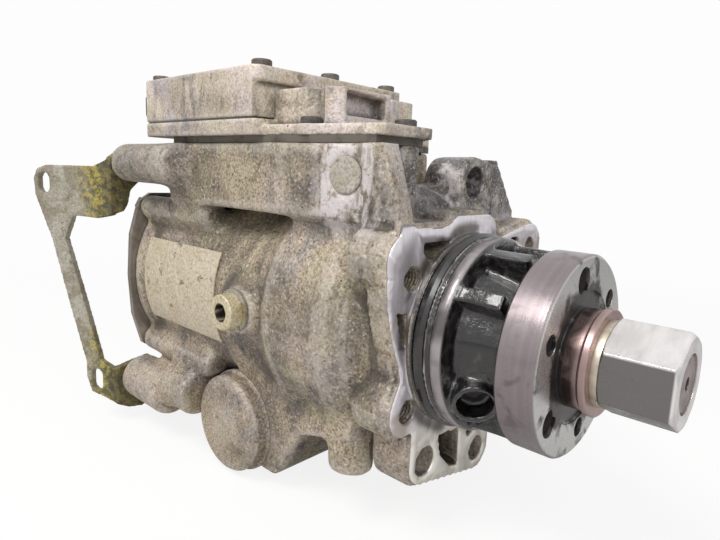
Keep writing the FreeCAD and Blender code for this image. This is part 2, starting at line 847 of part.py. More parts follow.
# bored lug behind the flange crown, and the web beside it
lug_rear = S.lug_front + S.lug_length
lug = housing.sketch("YZ", -lug_rear)
lug.lobe(S.lug_side, S.lug_height, S.lug_radius, S.lug_side, 40, S.lug_radius + 2)
housing.pad(lug, S.lug_length)
lug_web = housing.sketch("YZ", -S.lug_front - S.lug_web_thickness)
lug_web.polygon([(S.lug_side, 40), (S.lug_side, S.lug_height + 8), (S.lug_side + 11, S.lug_height + 11.2),
                 (S.lug_side + 19, S.lug_height + 11.2), (S.far_ear_side + 5, 50), (S.far_ear_side + 6, 40)])
housing.pad(lug_web, S.lug_web_thickness)

# stubs for the rear bracket, with a grooved boss ahead of the lower one
upper_stub = housing.sketch("YZ", -stub_end)
upper_stub.circle(-S.upper_stub_side, upper_stub_height, S.upper_stub_radius)
housing.pad(upper_stub, stub_end - S.upper_stub_root)
lower_stub = housing.sketch("YZ", -stub_end)
lower_stub.circle(-S.lower_stub_side, -S.lower_stub_height, S.lower_stub_radius)
housing.pad(lower_stub, stub_end - S.lower_boss_end - S.stub_groove_width)
stub_neck = housing.sketch("YZ", -S.lower_boss_end - S.stub_groove_width - 1)
stub_neck.circle(-S.lower_stub_side, -S.lower_stub_height, S.lower_stub_radius - 2.5)
housing.pad(stub_neck, S.stub_groove_width + 2)
lower_boss = housing.sketch("YZ", -S.lower_boss_end)
lower_boss.lobe(-S.lower_boss_side, -S.lower_boss_height, S.lower_stub_radius + 0.5, -28, -40, 12)
housing.pad(lower_boss, S.lower_boss_end - S.lower_boss_start)
stub_web = housing.sketch("YZ", 16 - stub_end)
stub_web.lobe(2 - S.lower_stub_side, 3 - S.lower_stub_height, 7, -30, -40, 7)
housing.pad(stub_web, stub_end - S.lower_boss_end - 14)

# bosses for the rear plate, the small bosses and the bolt holes in them
for side in (-1, 1):
    for up in (-1, 1):
        boss = housing.sketch("YZ", -S.barrel_length)
        boss.lobe(side * S.head_boss_side, up * S.head_boss_height, S.head_boss_radius,
                  side * S.head_boss_side * 0.75, up * S.head_boss_height * 0.75, S.head_boss_radius)
        housing.pad(boss, S.barrel_length - S.head_boss_root)
        hole = housing.sketch("YZ", -S.barrel_length - 1)
        hole.circle(side * S.head_boss_side, up * S.head_boss_height, S.plate_bolt_radius + S.sliding_fit)
        housing.cut(hole, S.plate_bolt_length, reverse=True)
for side, height in ((-S.upper_stub_side, upper_stub_height), (-S.lower_stub_side, -S.lower_stub_height)):
    hole = housing.sketch("YZ", -stub_end - 1)
    hole.circle(side, height, S.bracket_bolt_radius + S.sliding_fit)
    housing.cut(hole, S.bracket_bolt_length + 1, reverse=True)
foot_boss = housing.sketch("XY", -S.foot_boss_end).circle(-S.foot_boss_at, -S.foot_boss_side, S.foot_boss_radius)
housing.pad(foot_boss, S.foot_boss_end - 40)
plug_boss = housing.sketch("XZ", 40).circle(-S.plug_at, S.plug_height, S.plug_boss_radius)
housing.pad(plug_boss, S.plug_boss_face - 40)
plug_bore = housing.sketch("XZ", S.plug_boss_face + 1).circle(-S.plug_at, S.plug_height,
                                                            S.plug_thread_radius + S.sliding_fit)
housing.cut(plug_bore, S.plug_thread_length + 1)
inlet_boss = housing.sketch("XZ", -S.inlet_face).circle(-S.inlet_at, -S.inlet_drop, S.inlet_boss_radius)
housing.pad(inlet_boss, S.inlet_face - 45)
inlet_bore = housing.sketch("XZ", -S.inlet_face - 1).circle(-S.inlet_at, -S.inlet_drop, S.inlet_bore_radius)
housing.cut(inlet_bore, S.inlet_bore_depth + 1, reverse=True)
overflow_seat = S.barrel_front_radius + 2
overflow_boss = housing.sketch("XZ", -overflow_seat).circle(-S.overflow_at, S.overflow_height, 9)
housing.pad(overflow_boss, overflow_seat - 50)
overflow_bore = housing.sketch("XZ", -overflow_seat - 1).circle(-S.overflow_at, S.overflow_height,
                                                              S.outlet_nose_radius + S.sliding_fit)
housing.cut(overflow_bore, 9, reverse=True)

# timing device block across the bottom, with its sloping front and the seat of its valve
half = S.timing_block_half
block = housing.sketch("XZ", -half).circle(-S.cam_at, -timing_height, S.timing_block_radius)
housing.pad(block, 2 * half)
keel = housing.sketch("XZ", -half)
keel.polygon([(-S.cam_at, -S.shelf_bottom), (6 - S.barrel_shoulder_at, -S.keel_nose_top),
              (6 - S.barrel_shoulder_at, -S.keel_nose_bottom),
              (14 - S.barrel_step_at, -S.keel_knee), (32 - S.cam_at, -timing_height - S.keel_toe_drop),
              (-S.cam_at, -timing_height - S.keel_toe_drop - 1)])
housing.pad(keel, 2 * half + 4)
valve_seat = S.cam_at + S.timing_block_radius + 1.5
valve_boss = housing.sketch("YZ", -valve_seat)
valve_boss.circle(S.timing_solenoid_side, -timing_height, S.timing_solenoid_radius + 1.5)
housing.pad(valve_boss, 8)

# bores along the shaft
bush_front = S.neck_end - S.seal_depth
bush_rear = bush_front - S.bush_length
housing.turned([
    (S.neck_end + 1, 0), (S.neck_end + 1, S.seal_radius), (bush_front, S.seal_radius),
    (bush_front, S.bush_outer_radius), (bush_rear, S.bush_outer_radius),
    (bush_rear, S.shaft_passage_radius), (-S.vane_bore_start, S.shaft_passage_radius),
    (-S.vane_bore_start, S.vane_bore_radius), (-S.main_bore_start, S.vane_bore_radius),
    (-S.main_bore_start, S.main_bore_radius), (-S.barrel_length - 1, S.main_bore_radius),
    (-S.barrel_length - 1, 0)], cut=True)

# timing piston bore with a counterbore at each end, and the slot that the pin passes through
timing_bore = housing.sketch("XZ", half + 5)
timing_bore.circle(-S.cam_at, -timing_height, S.timing_piston_radius + S.running_fit)
housing.cut(timing_bore, 2 * half + 10)
for face, reverse in ((half + 5, False), (-half - 5, True)):
    counterbore = housing.sketch("XZ", face)
    counterbore.circle(-S.cam_at, -timing_height, S.timing_spigot_radius + S.sliding_fit)
    housing.cut(counterbore, S.timing_spigot_length + 5, reverse=reverse)
    facing = housing.sketch("XZ", face - 12 if reverse else face + 12)
    facing.circle(-S.cam_at, -timing_height, S.timing_lip_radius + 0.5)
    housing.cut(facing, 17, reverse=reverse)
pin_slot = housing.sketch("XY", -timing_height)
pin_way = S.timing_stroke + 2
pin_slot.lobe(-S.cam_at, -pin_way, S.timing_ball_radius + 1, -S.cam_at, pin_way, S.timing_ball_radius + 1)
housing.cut(pin_slot, 24, reverse=True)

# well under the control unit, holes and cast pockets of the mounting face
margin = S.deck_well_margin
well = housing.sketch("XY", S.deck_height)
well.rounded(margin - S.deck_rear, margin - S.deck_side, -S.deck_knee - 8, S.deck_far_side - margin, 6.0)
housing.cut(well, S.deck_well_depth)
for side, height, radius, depth in (
        (-S.ear_tap_side, S.ear_tap_height, S.tapped_hole_radius, S.tapped_hole_depth),
        (-S.low_ear_side, -S.low_ear_height, S.tapped_hole_radius, S.tapped_hole_depth),
        (-S.foot_side, -S.foot_height, S.foot_hole_radius, S.flange_thickness + 5),
        (S.toe_side, -S.toe_height, S.toe_hole_radius, S.flange_thickness + 5),
        (S.far_ear_side, S.far_ear_height, S.tapped_hole_radius, S.flange_thickness + 5)):
    housing.cut(housing.sketch("YZ").circle(side, height, radius), depth)
for pocket in (
        [(-34.5, 40.5), (-16.5, 40.5), (-19.5, 43.4), (-33.5, 43.6)],
        [(-48.5, 14.5), (-44.5, 12.5), (-44.8, 4.5), (-46.2, 2.5)],
        [(-15, -46.8), (2, -49), (3.2, -68), (-4, -66), (-12, -58)],
        [(8, -52), (18, -52.5), (10.5, -56.5)],
        [(32, 38), (45, 38.5), (44, 34)]):
    housing.cut(housing.sketch("YZ").polygon(pocket), S.flange_pocket_depth)
lug_bore = housing.sketch("YZ", 1 - S.lug_front).circle(S.lug_side, S.lug_height, S.lug_hole_radius)
housing.cut(lug_bore, S.lug_length + 2)
housing.add(rod("CorePlugSeat", S.core_plug_radius + S.sliding_fit, S.core_plug_thickness + 2,
                *core_plug_root, Rotation(Vector(0, 0, 1), core_plug_way)), cut=True)
for x, y in UNIT_SCREWS[:2]:
    screw_boss = housing.sketch("XY", S.shelf_bottom + 8).circle(x, y, S.screw_boss_radius)
    housing.pad(screw_boss, S.deck_height - S.shelf_bottom - 8)
for x, y in UNIT_SCREWS:
    housing.cut(housing.sketch("XY", S.deck_height).circle(x, y, S.screw_thread_radius + S.sliding_fit),
                S.screw_length)
valve_bore = housing.sketch("YZ", -valve_seat - 1)
valve_bore.circle(S.timing_solenoid_side, -timing_height, S.valve_stub_radius + S.sliding_fit)
housing.cut(valve_bore, S.valve_stub_length + 2, reverse=True)
housing.finish()


# small pieces on the housing

def ring(label, inner, outer, start, end, node=True):
    """A plain ring about the piece's X axis, from start to end."""
    piece = Piece(label, node)
    piece.turned([(start, inner), (start, outer), (end, outer), (end, inner)])
    return piece


def hoop(label, ring_radius, section, x, node=True):
    """A round section seal about the piece's X axis, turned from an eight sided section."""
    piece = Piece(label, node)
    corners = [math.radians(45 * number + 22.5) for number in range(8)]
    piece.turned([(x + section * math.cos(a), ring_radius + section * math.sin(a)) for a in corners])
    return piece


hoop("pilot_o_ring", pilot - S.groove_depth + S.o_ring_section + S.sliding_fit, S.o_ring_section,
     S.groove_start + S.groove_width / 2)

core_plug = Piece("core_plug")
core_plug.turned([(0, 0), (0, S.core_plug_radius), (S.core_plug_thickness - 0.6, S.core_plug_radius),
                  (S.core_plug_thickness, S.core_plug_radius - 0.6), (S.core_plug_thickness, 0)])
core_plug.at(*core_plug_root, Rotation(Vector(1, 0, 0), core_plug_way))

ring("side_plug_washer", S.plug_thread_radius + S.seat_gap, S.plug_washer_radius, 0, S.plug_washer_thickness).at(
    -S.plug_at, -S.plug_boss_face, S.plug_height, TOWARDS["-Y"])
side_plug = socket_screw("side_plug", S.plug_thread_radius, S.plug_thread_length, S.plug_head_radius,
                         S.plug_head_height, S.plug_key, node=True)
side_plug.at(-S.plug_at, -S.plug_boss_face - S.plug_washer_thickness, S.plug_height, TOWARDS["-Y"])

plate_skin = S.barrel_rear_radius + S.running_fit
nameplate = Piece("nameplate")
plate_arc = nameplate.turned([(-nameplate_end, plate_skin), (-nameplate_end, plate_skin + S.nameplate_thickness),
                              (-S.nameplate_start, plate_skin + S.nameplate_thickness),
                              (-S.nameplate_start, plate_skin)], angle=S.nameplate_half_angle * 2)
plate_arc.Midplane = True
nameplate.at(turn=Rotation(Vector(1, 0, 0), 90))


# drive shaft with the roller cage at its inner end, hub and nut

cam_front = S.cam_at - S.cam_width / 2
cam_rear = S.cam_at + S.cam_width / 2
taper_length = S.shaft_taper_end - S.shaft_taper_start
taper_fall = S.shaft_radius - S.shaft_taper_end_radius


def taper_radius(x):
    """Radius of the shaft's taper at x."""
    return S.shaft_radius - (x - S.shaft_taper_start) * taper_fall / taper_length


shaft = Piece("drive_shaft")
cage_floor = S.cage_front + S.cage_disc_thickness
shaft.turned([
    (-cam_rear, S.cage_inner_radius), (-cam_rear, S.cage_outer_radius), (-S.cage_front, S.cage_outer_radius),
    (-S.cage_front, S.shaft_radius), (S.shaft_taper_start, S.shaft_radius),
    (S.shaft_taper_end, S.shaft_taper_end_radius), (S.shaft_taper_end, S.shaft_thread_radius),
    (S.shaft_end - 1, S.shaft_thread_radius), (S.shaft_end, S.shaft_thread_radius - 1), (S.shaft_end, 0),
    (-cage_floor, 0), (-cage_floor, S.cage_inner_radius)])
slot_half = S.shoe_width / 2 + S.cage_slot_play
slot_end = S.roller_length / 2 + S.cage_slot_play
cage_slot = shaft.sketch("XY", S.cage_outer_radius + 1).polygon([
    (-S.cam_at - slot_end, -slot_half), (slot_end - S.cam_at, -slot_half),
    (slot_end - S.cam_at, slot_half), (-S.cam_at - slot_end, slot_half)])
shaft.around(shaft.cut(cage_slot, S.cage_outer_radius - S.cage_inner_radius + 4), ROLLERS)
key_half = S.key_width / 2
key_end = S.key_start + S.key_length
keyway = shaft.sketch("XY", S.shaft_radius + 2)
keyway.lobe(S.key_start + key_half, 0, key_half + S.running_fit, key_end - key_half, 0, key_half + S.running_fit)
shaft.cut(keyway, S.shaft_radius + 2 - S.key_bottom)
shaft.cut(shaft.sketch("YZ", S.shaft_end).circle(0, 0, S.centre_hole_radius), S.centre_hole_depth)

key = Piece("drive_key")
key.pad(key.sketch("XY", S.key_bottom).lobe(S.key_start + key_half, 0, key_half, key_end - key_half, 0, key_half),
        S.key_top - S.key_bottom)

hub = Piece("drive_hub")
hub_face = S.hub_rear + S.hub_thickness
collar_end = hub_face + S.hub_collar_length
bead = collar_end - S.hub_collar_bead
edge = S.hub_edge_chamfer
hub.turned([
    (S.hub_rear, taper_radius(S.hub_rear) + S.running_fit), (S.hub_rear, S.hub_radius - edge),
    (S.hub_rear + edge, S.hub_radius), (hub_face - edge, S.hub_radius), (hub_face, S.hub_radius - edge),
    (hub_face, S.hub_recess_radius), (hub_face - S.hub_recess_depth, S.hub_recess_radius),
    (hub_face - S.hub_recess_depth, S.hub_collar_step_radius), (bead, S.hub_collar_step_radius),
    (bead + 1, S.hub_collar_radius), (collar_end - 0.5, S.hub_collar_radius),
    (collar_end, S.hub_collar_radius - 0.5), (collar_end, S.shaft_taper_end_radius + S.running_fit),
    (S.shaft_taper_end, S.shaft_taper_end_radius + S.running_fit)])
for first, radius in ((0, S.hub_hole_radius), (60, S.hub_tap_radius)):
    holes = hub.sketch("YZ", hub_face)
    for turn in range(3):
        angle = math.radians(float(S.hub_hole_first_angle) + first + 120 * turn)
        holes.circle(-S.hub_hole_circle * math.sin(angle), S.hub_hole_circle * math.cos(angle), radius)
    hub.cut(holes, S.hub_thickness + 1)
hub_keyway = hub.sketch("YZ", collar_end + 1)
key_side = key_half + S.running_fit
hub_keyway.polygon([(-key_side, 0), (key_side, 0), (key_side, S.key_top + S.seat_gap),
                    (-key_side, S.key_top + S.seat_gap)])
hub.cut(hub_keyway, S.hub_thickness + S.hub_collar_length + 2)

ring("hub_washer", S.shaft_thread_radius + S.seat_gap, S.hub_washer_radius, collar_end,
     collar_end + S.hub_washer_thickness)

nut = Piece("hub_nut")
nut_rear = collar_end + S.hub_washer_thickness
nut_front = nut_rear + S.nut_length
flat = S.nut_across_flats / 2
nut.pad(nut.sketch("YZ", nut_rear).polygon(hexagon(S.nut_across_flats)), S.nut_length)
nut.turned([(nut_front + 1, flat - 1.5), (nut_front + 1, flat + 4), (nut_front - S.nut_chamfer, flat + 4)], cut=True)
nut.turned([(nut_rear - 1, flat - 1.5), (nut_rear - 1, flat + 4), (nut_rear + S.nut_chamfer, flat + 4)], cut=True)
nut.cut(nut.sketch("YZ", nut_front).circle(0, 0, S.shaft_thread_radius + S.running_fit), S.nut_length)

seal = Piece("shaft_seal")
seal_start = bush_front + 1
seal_end = seal_start + S.seal_width
seal.turned([
    (seal_start, S.shaft_radius + 0.6), (seal_start, S.seal_radius - S.running_fit),
    (seal_end, S.seal_radius - S.running_fit), (seal_end, S.shaft_radius + 0.8),
    (seal_end - 1.5, S.shaft_radius + 0.8), (seal_end - 1.5, S.seal_radius - 2),
    (seal_start + 3, S.seal_radius - 2), (seal_start + 3, S.shaft_radius + 1),
    (seal_start + 1.5, S.shaft_radius + S.sliding_fit)])

vane_rear = S.vane_bore_start + S.seat_gap + S.vane_width
plate_front = vane_rear + S.seat_gap
plate_rear = plate_front + S.port_plate_thickness
bush_inner = S.shaft_radius + S.running_fit
bush_outer = S.bush_outer_radius - S.running_fit
group("shaft_bushes", [ring("front_bush", bush_inner, bush_outer, bush_rear, bush_front, node=False),
                       ring("rear_bush", bush_inner, bush_outer, -plate_rear, -plate_front, node=False)])


# vane type feed pump ahead of the cam ring

port_plate = ring("port_plate", S.bush_outer_radius, S.vane_bore_radius - S.sliding_fit, -plate_rear, -plate_front)
for side in (-1, 1):
    port = port_plate.sketch("YZ", -plate_front)
    port.lobe(side * 20, 17, 3, side * 26.5, 0, 3)
    port_plate.cut(port, S.port_plate_thickness)

rotor = ring("vane_rotor", bush_inner, S.vane_rotor_radius, -vane_rear, -S.vane_bore_start - S.seat_gap)
vane_slot_half = S.vane_thickness / 2 + S.running_fit
vane_slot = rotor.sketch("XY", S.vane_rotor_radius + 1).polygon([
    (-vane_rear - 1, -vane_slot_half), (-S.vane_bore_start, -vane_slot_half),
    (-S.vane_bore_start, vane_slot_half), (-vane_rear - 1, vane_slot_half)])
rotor.around(rotor.cut(vane_slot, S.vane_rotor_radius + 1 - S.vane_root_radius + S.seat_gap), VANES)


def spaced(label, name, count, first, make):
    """Identical pieces set evenly round the pump axis in one node."""
    pieces = []
    for number in range(count):
        piece = make(name)
        piece.at(turn=Rotation(Vector(1, 0, 0), first + 360 / count * number))
        pieces.append(piece)
    group(label, pieces)


def vane(name):
    piece = Piece(name, node=False)
    vane_half = S.vane_thickness / 2
    front = -S.vane_bore_start - S.seat_gap * 2
    piece.pad(piece.sketch("XY", S.vane_root_radius).polygon([
        (S.seat_gap - vane_rear, -vane_half), (front, -vane_half), (front, vane_half),
        (S.seat_gap - vane_rear, vane_half)]), S.vane_tip_radius - S.vane_root_radius)
    return piece


spaced("vanes", "vane", VANES, 0, vane)

stator = Piece("eccentric_ring")
stator_outline = stator.sketch("YZ", -vane_rear)
stator_outline.circle(0, 0, S.vane_bore_radius - S.sliding_fit)
stator_outline.circle(0, S.vane_ring_offset, S.vane_ring_radius)
stator.pad(stator_outline, S.vane_width)


# angle sensing: the slotted wheel turns with the shaft, the sensor turns with the cam ring

wheel = ring("angle_wheel", bush_inner, S.angle_wheel_radius, -S.angle_wheel_at - S.angle_wheel_thickness,
             -S.angle_wheel_at)
notch = wheel.sketch("XY", S.angle_wheel_radius + 1)
notch_half = 1.5
wheel_rear = S.angle_wheel_at + S.angle_wheel_thickness
notch.polygon([(-wheel_rear - 1, -notch_half), (1 - S.angle_wheel_at, -notch_half),
               (1 - S.angle_wheel_at, notch_half), (-wheel_rear - 1, notch_half)])
wheel.around(wheel.cut(notch, S.angle_wheel_tooth_depth + 1), WHEEL_TEETH)

sleeve = ring("sensor_sleeve", S.sensor_sleeve_inner, S.sensor_sleeve_outer, -cam_front, -S.sensor_start)

sensor = Piece("angle_sensor")
sensor_half = S.sensor_width / 2
sensor_foot = S.angle_wheel_radius + S.sensor_air_gap
sensor_outline = sensor.sketch("YZ", -S.sensor_start - S.sensor_length)
sensor_outline.polygon([(-sensor_half + 2, sensor_foot), (sensor_half - 2, sensor_foot),
                        (sensor_half, sensor_foot + 3), (sensor_half, S.sensor_sleeve_inner - 0.5),
                        (-sensor_half, S.sensor_sleeve_inner - 0.5), (-sensor_half, sensor_foot + 3)])
sensor.pad(sensor_outline, S.sensor_length)


# cam ring with its timing pin, and the rollers, shoes and plungers that it drives

cam = ring("cam_ring", S.cam_ring_bore, S.main_bore_radius - S.sliding_fit, -cam_rear, -cam_front)
quarter = math.sqrt(0.5)
pocket = cam.sketch("YZ", -cam_front)
pocket.circle(S.cam_pocket_shift * quarter, S.cam_pocket_shift * quarter, S.cam_pocket_radius)
cam.around(cam.cut(pocket, S.cam_width), ROLLERS)
pin_root = S.main_bore_radius - S.sliding_fit - S.timing_pin_depth
cam.cut(cam.sketch("XY", -S.main_bore_radius - 1).circle(-S.cam_at, 0, S.timing_neck_radius + S.running_fit),
        S.timing_pin_depth + 1, reverse=True)

pin = Casting("timing_pin")
pin.add(rod("PinNeck", S.timing_neck_radius, timing_height - pin_root - S.seat_gap, -S.cam_at, 0,
            -timing_height))
pin.add(ball("PinBall", S.timing_ball_radius, -S.cam_at, 0, -timing_height))
pin.finish()


def roller(name):
    piece = Piece(name, node=False)
    piece.pad(piece.sketch("YZ", -S.cam_at - S.roller_length / 2).circle(0, S.roller_circle, S.roller_radius),
              S.roller_length)
    return piece


def shoe(name):
    piece = Piece(name, node=False)
    rear = -S.cam_at - S.roller_length / 2
    side = S.shoe_width / 2
    piece.pad(piece.sketch("YZ", rear).polygon([(-side, S.shoe_bottom), (side, S.shoe_bottom), (side, S.shoe_top),
                                                (-side, S.shoe_top)]), S.roller_length)
    seat = piece.sketch("YZ", rear + S.roller_length)
    seat.circle(0, S.roller_circle, S.roller_radius + S.running_fit)
    piece.cut(seat, S.roller_length)
    return piece


def plunger(name):
    piece = Piece(name, node=False)
    length = S.shoe_bottom - S.seat_gap - S.plunger_bottom
    piece.pad(piece.sketch("XY", S.plunger_bottom).circle(-S.cam_at, 0, S.plunger_radius), length)
    return piece


spaced("rollers", "roller", ROLLERS, 0, roller)
spaced("roller_shoes", "roller_shoe", ROLLERS, 0, shoe)
spaced("plungers", "plunger", ROLLERS, 0, plunger)


# distributor: rotor, sleeve, head with its seal, and the rear plate

needle_bore = S.needle_radius + S.sliding_fit
needle_tip = S.cam_at + 5
rotor_head_rear = S.rotor_head_front + S.rotor_head_length
distributor = Piece("distributor_rotor")
distributor.turned([
    (-rotor_end, needle_bore), (-rotor_end, S.rotor_radius), (-rotor_head_rear, S.rotor_radius),
    (-rotor_head_rear, S.rotor_head_radius), (-S.rotor_head_front, S.rotor_head_radius),
    (-S.rotor_head_front, 0), (-S.cam_at, 0), (-S.cam_at, 2), (-needle_tip, 2), (-needle_tip, needle_bore)])
cross_bore = S.plunger_radius + S.running_fit
distributor.cut(distributor.sketch("XY", S.rotor_head_radius + 1).circle(-S.cam_at, 0, cross_bore),
                2 * S.rotor_head_radius + 2)
distributor.cut(distributor.sketch("XZ", S.rotor_head_radius + 1).circle(-S.cam_at, 0, cross_bore),
                2 * S.rotor_head_radius + 2)

ring("distributor_sleeve", S.rotor_radius + S.running_fit, S.sleeve_radius - S.running_fit, -sleeve_end,
     -S.sleeve_start)

head = Piece("distributor_head")
head_rim = S.main_bore_radius - S.seat_gap
seal_half = S.head_seal_section + 0.1
seal_floor = head_rim - 2 * S.head_seal_section
head.turned([
    (-S.barrel_length, S.sleeve_radius), (-S.barrel_length, head_rim),
    (-head_seal_at - seal_half, head_rim), (-head_seal_at - seal_half, seal_floor),
    (seal_half - head_seal_at, seal_floor), (seal_half - head_seal_at, head_rim),
    (-head_flange_front, head_rim), (-head_flange_front, S.head_hub_radius),
    (-S.head_hub_front, S.head_hub_radius), (-S.head_hub_front, S.sleeve_radius)])
outlets = [(side * S.outlet_circle * quarter, up * S.outlet_circle * quarter) for side in (-1, 1) for up in (-1, 1)]
ports = head.sketch("YZ", -S.barrel_length)
for side, up in outlets:
    ports.circle(side, up, S.outlet_thread_radius + S.running_fit)
head.cut(ports, S.outlet_thread_length - S.plate_thickness + 1, reverse=True)

hoop("head_o_ring", seal_floor + S.head_seal_section + 0.02, S.head_seal_section, -head_seal_at)

plate_rear_face = S.barrel_length + S.plate_thickness
wide = S.plate_half_width
high = S.plate_half_height
corners = [(wide, 0), (wide - 1.5, high / 2), (wide - 7, high - 5), (wide - 14.5, high)]
outline = corners + [(-a, b) for a, b in reversed(corners)]
outline += [(-a, -b) for a, b in corners[1:]] + [(a, -b) for a, b in reversed(corners[1:])]
head_plate = Piece("head_plate")
head_plate.pad(head_plate.sketch("YZ", -plate_rear_face).polygon(outline), S.plate_thickness)
plate_holes = head_plate.sketch("YZ", -S.barrel_length)
plate_holes.circle(0, 0, S.needle_radius + 0.5)
bolt_places = [(side * S.head_boss_side, up * S.head_boss_height) for side in (-1, 1) for up in (-1, 1)]
for side, up in outlets:
    plate_holes.circle(side, up, S.outlet_thread_radius + S.seat_gap)
for side, up in bolt_places:
    plate_holes.circle(side, up, S.plate_bolt_radius + S.seat_gap)
head_plate.cut(plate_holes, S.plate_thickness)

plate_bolts = []
for side, up in bolt_places:
    bolt = hex_bolt("head_plate_bolt", S.plate_bolt_radius, S.plate_bolt_length, S.plate_bolt_hex, S.plate_bolt_head)
    plate_bolts.append(bolt.at(-plate_rear_face, side, up, TOWARDS["-X"]))
group("head_plate_bolts", plate_bolts)


# metering: a needle in the rotor, lifted by the solenoid behind the head

needle = Piece("quantity_needle")
needle.turned([(-armature_start, 0), (-armature_start, S.needle_radius), (-needle_tip - 2.5, S.needle_radius),
               (-needle_tip - S.needle_lift, 1), (-needle_tip - S.needle_lift, 0)])

armature_rear = armature_start + S.armature_length
ring("needle_armature", 0, S.armature_radius, -armature_rear, -armature_start)

shell = Piece("solenoid_shell")
shell_end = plate_rear_face + S.solenoid_length
shell_inner = S.solenoid_radius - S.solenoid_wall
pole_face = armature_rear + S.needle_lift + S.seat_gap
end_wall = shell_end - S.plate_thickness
front_wall = plate_rear_face + S.plate_thickness
shell.turned([
    (-plate_rear_face, S.needle_radius + 0.5), (-plate_rear_face, S.solenoid_radius),
    (1.5 - shell_end, S.solenoid_radius), (-shell_end, S.solenoid_radius - 1.5), (-shell_end, 0), (-pole_face, 0),
    (-pole_face, S.armature_radius - S.seat_gap), (-end_wall, S.armature_radius - S.seat_gap),
    (-end_wall, shell_inner), (-front_wall, shell_inner), (-front_wall, S.needle_radius + 0.5)])

ring("solenoid_coil", S.armature_radius + 0.3, shell_inner - S.seat_gap, S.seat_gap - end_wall,
     S.coil_length - end_wall)


# delivery outlets with their valves and springs

nose_start = S.outlet_hex_length
valve_bore = S.valve_radius + S.sliding_fit
valve_front = S.outlet_thread_length - 1
valve_rear = valve_front - S.valve_length
spring_seat = S.valve_spring_length + S.valve_lift + S.seat_gap - valve_rear


def holder(name):
    piece = Piece(name, node=False)
    piece.pad(piece.sketch("YZ").polygon(hexagon(S.outlet_hex)), S.outlet_hex_length)
    piece.turned([
        (-S.outlet_thread_length, 0), (-S.outlet_thread_length, S.outlet_thread_radius),
        (0, S.outlet_thread_radius), (nose_start, S.outlet_nose_radius + 1),
        (nose_start, S.outlet_nose_radius), (S.outlet_length - 1, S.outlet_nose_radius),
        (S.outlet_length, S.outlet_nose_radius - 1), (S.outlet_length, 0)])
    piece.turned([
        (-S.outlet_thread_length - 1, 0), (-S.outlet_thread_length - 1, valve_bore), (spring_seat, valve_bore),
        (spring_seat, S.outlet_passage_radius), (S.outlet_length - 4, S.outlet_passage_radius),
        (S.outlet_length + 1, S.outlet_nose_radius - 1.5), (S.outlet_length + 1, 0)], cut=True)
    return piece


def coil(name, radius, wire, length, turns):
    """A wire spring along Z, from zero to its length, lofted through one small section after another."""
    steps = COIL_STEPS * int(turns)
    sections = []
    for step in range(steps + 1):
        turn = 2 * math.pi * step / COIL_STEPS
        height = wire + (length - 2 * wire) * step / steps
        corners = []
        for side in range(COIL_SIDES + 1):
            angle = 2 * math.pi * side / COIL_SIDES
            reach = radius + wire * math.cos(angle)
            corners.append(Vector(reach * math.cos(turn), reach * math.sin(turn), height + wire * math.sin(angle)))
        sections.append(Part.makePolygon(corners))
    made = doc.addObject("Part::Feature", name)
    made.Shape = Part.makeLoft(sections, True, True)
    return made


holders = []
springs = []
for number, (side, up) in enumerate(outlets, start=1):
    holders.append(holder("delivery_holder").at(-plate_rear_face, side, up, TOWARDS["-X"]))
    valve = Piece("delivery_valve_%d" % number)
    valve.turned([(-valve_front, 0), (-valve_front, 1.2), (1.6 - valve_front, S.valve_radius),
                  (-valve_rear, S.valve_radius), (-valve_rear, 0)])
    valve.at(-plate_rear_face, side, up, TOWARDS["-X"])
    spring = coil("DeliverySpring%d" % number, S.valve_spring_radius, S.valve_spring_wire, S.valve_spring_length,
                  S.valve_spring_turns)
    place(spring, -plate_rear_face - spring_seat, side, up, Rotation(Vector(0, 1, 0), 90))
    springs.append(spring)
group("delivery_holders", holders)
group("delivery_springs", springs)


# timing device: a spring loaded piston that turns the cam ring by its pin

at_timing = (-S.cam_at, 0, -timing_height)
piston_half = S.timing_piston_length / 2
piston = Piece("timing_piston")
bore_floor = piston_half - S.timing_spring_depth
piston.turned([
    (-piston_half, 0), (-piston_half, S.timing_piston_radius - 1), (1 - piston_half, S.timing_piston_radius),
    (piston_half, S.timing_piston_radius), (piston_half, S.timing_spring_bore), (bore_floor, S.timing_spring_bore),
    (bore_floor, 0)])
ball_hole = piston.sketch("XY", S.timing_piston_radius + 1).circle(0, 0, S.timing_ball_radius + 0.3)
piston.cut(ball_hole, S.timing_piston_radius + S.timing_ball_radius + 2)
piston.at(*at_timing, TOWARDS["+Y"])

spigot_end = half - S.timing_spigot_length
spring_length = spigot_end - bore_floor - 2 * S.seat_gap
timing_spring = coil("TimingSpring", S.timing_spring_bore - S.timing_spring_wire - 0.4, S.timing_spring_wire,
                     spring_length, S.timing_spring_turns)
place(timing_spring, -S.cam_at, bore_floor + S.seat_gap, -timing_height,
      Rotation(Vector(1, 0, 0), -90))
timing_spring.Label = "timing_spring"
NODES.append(timing_spring)

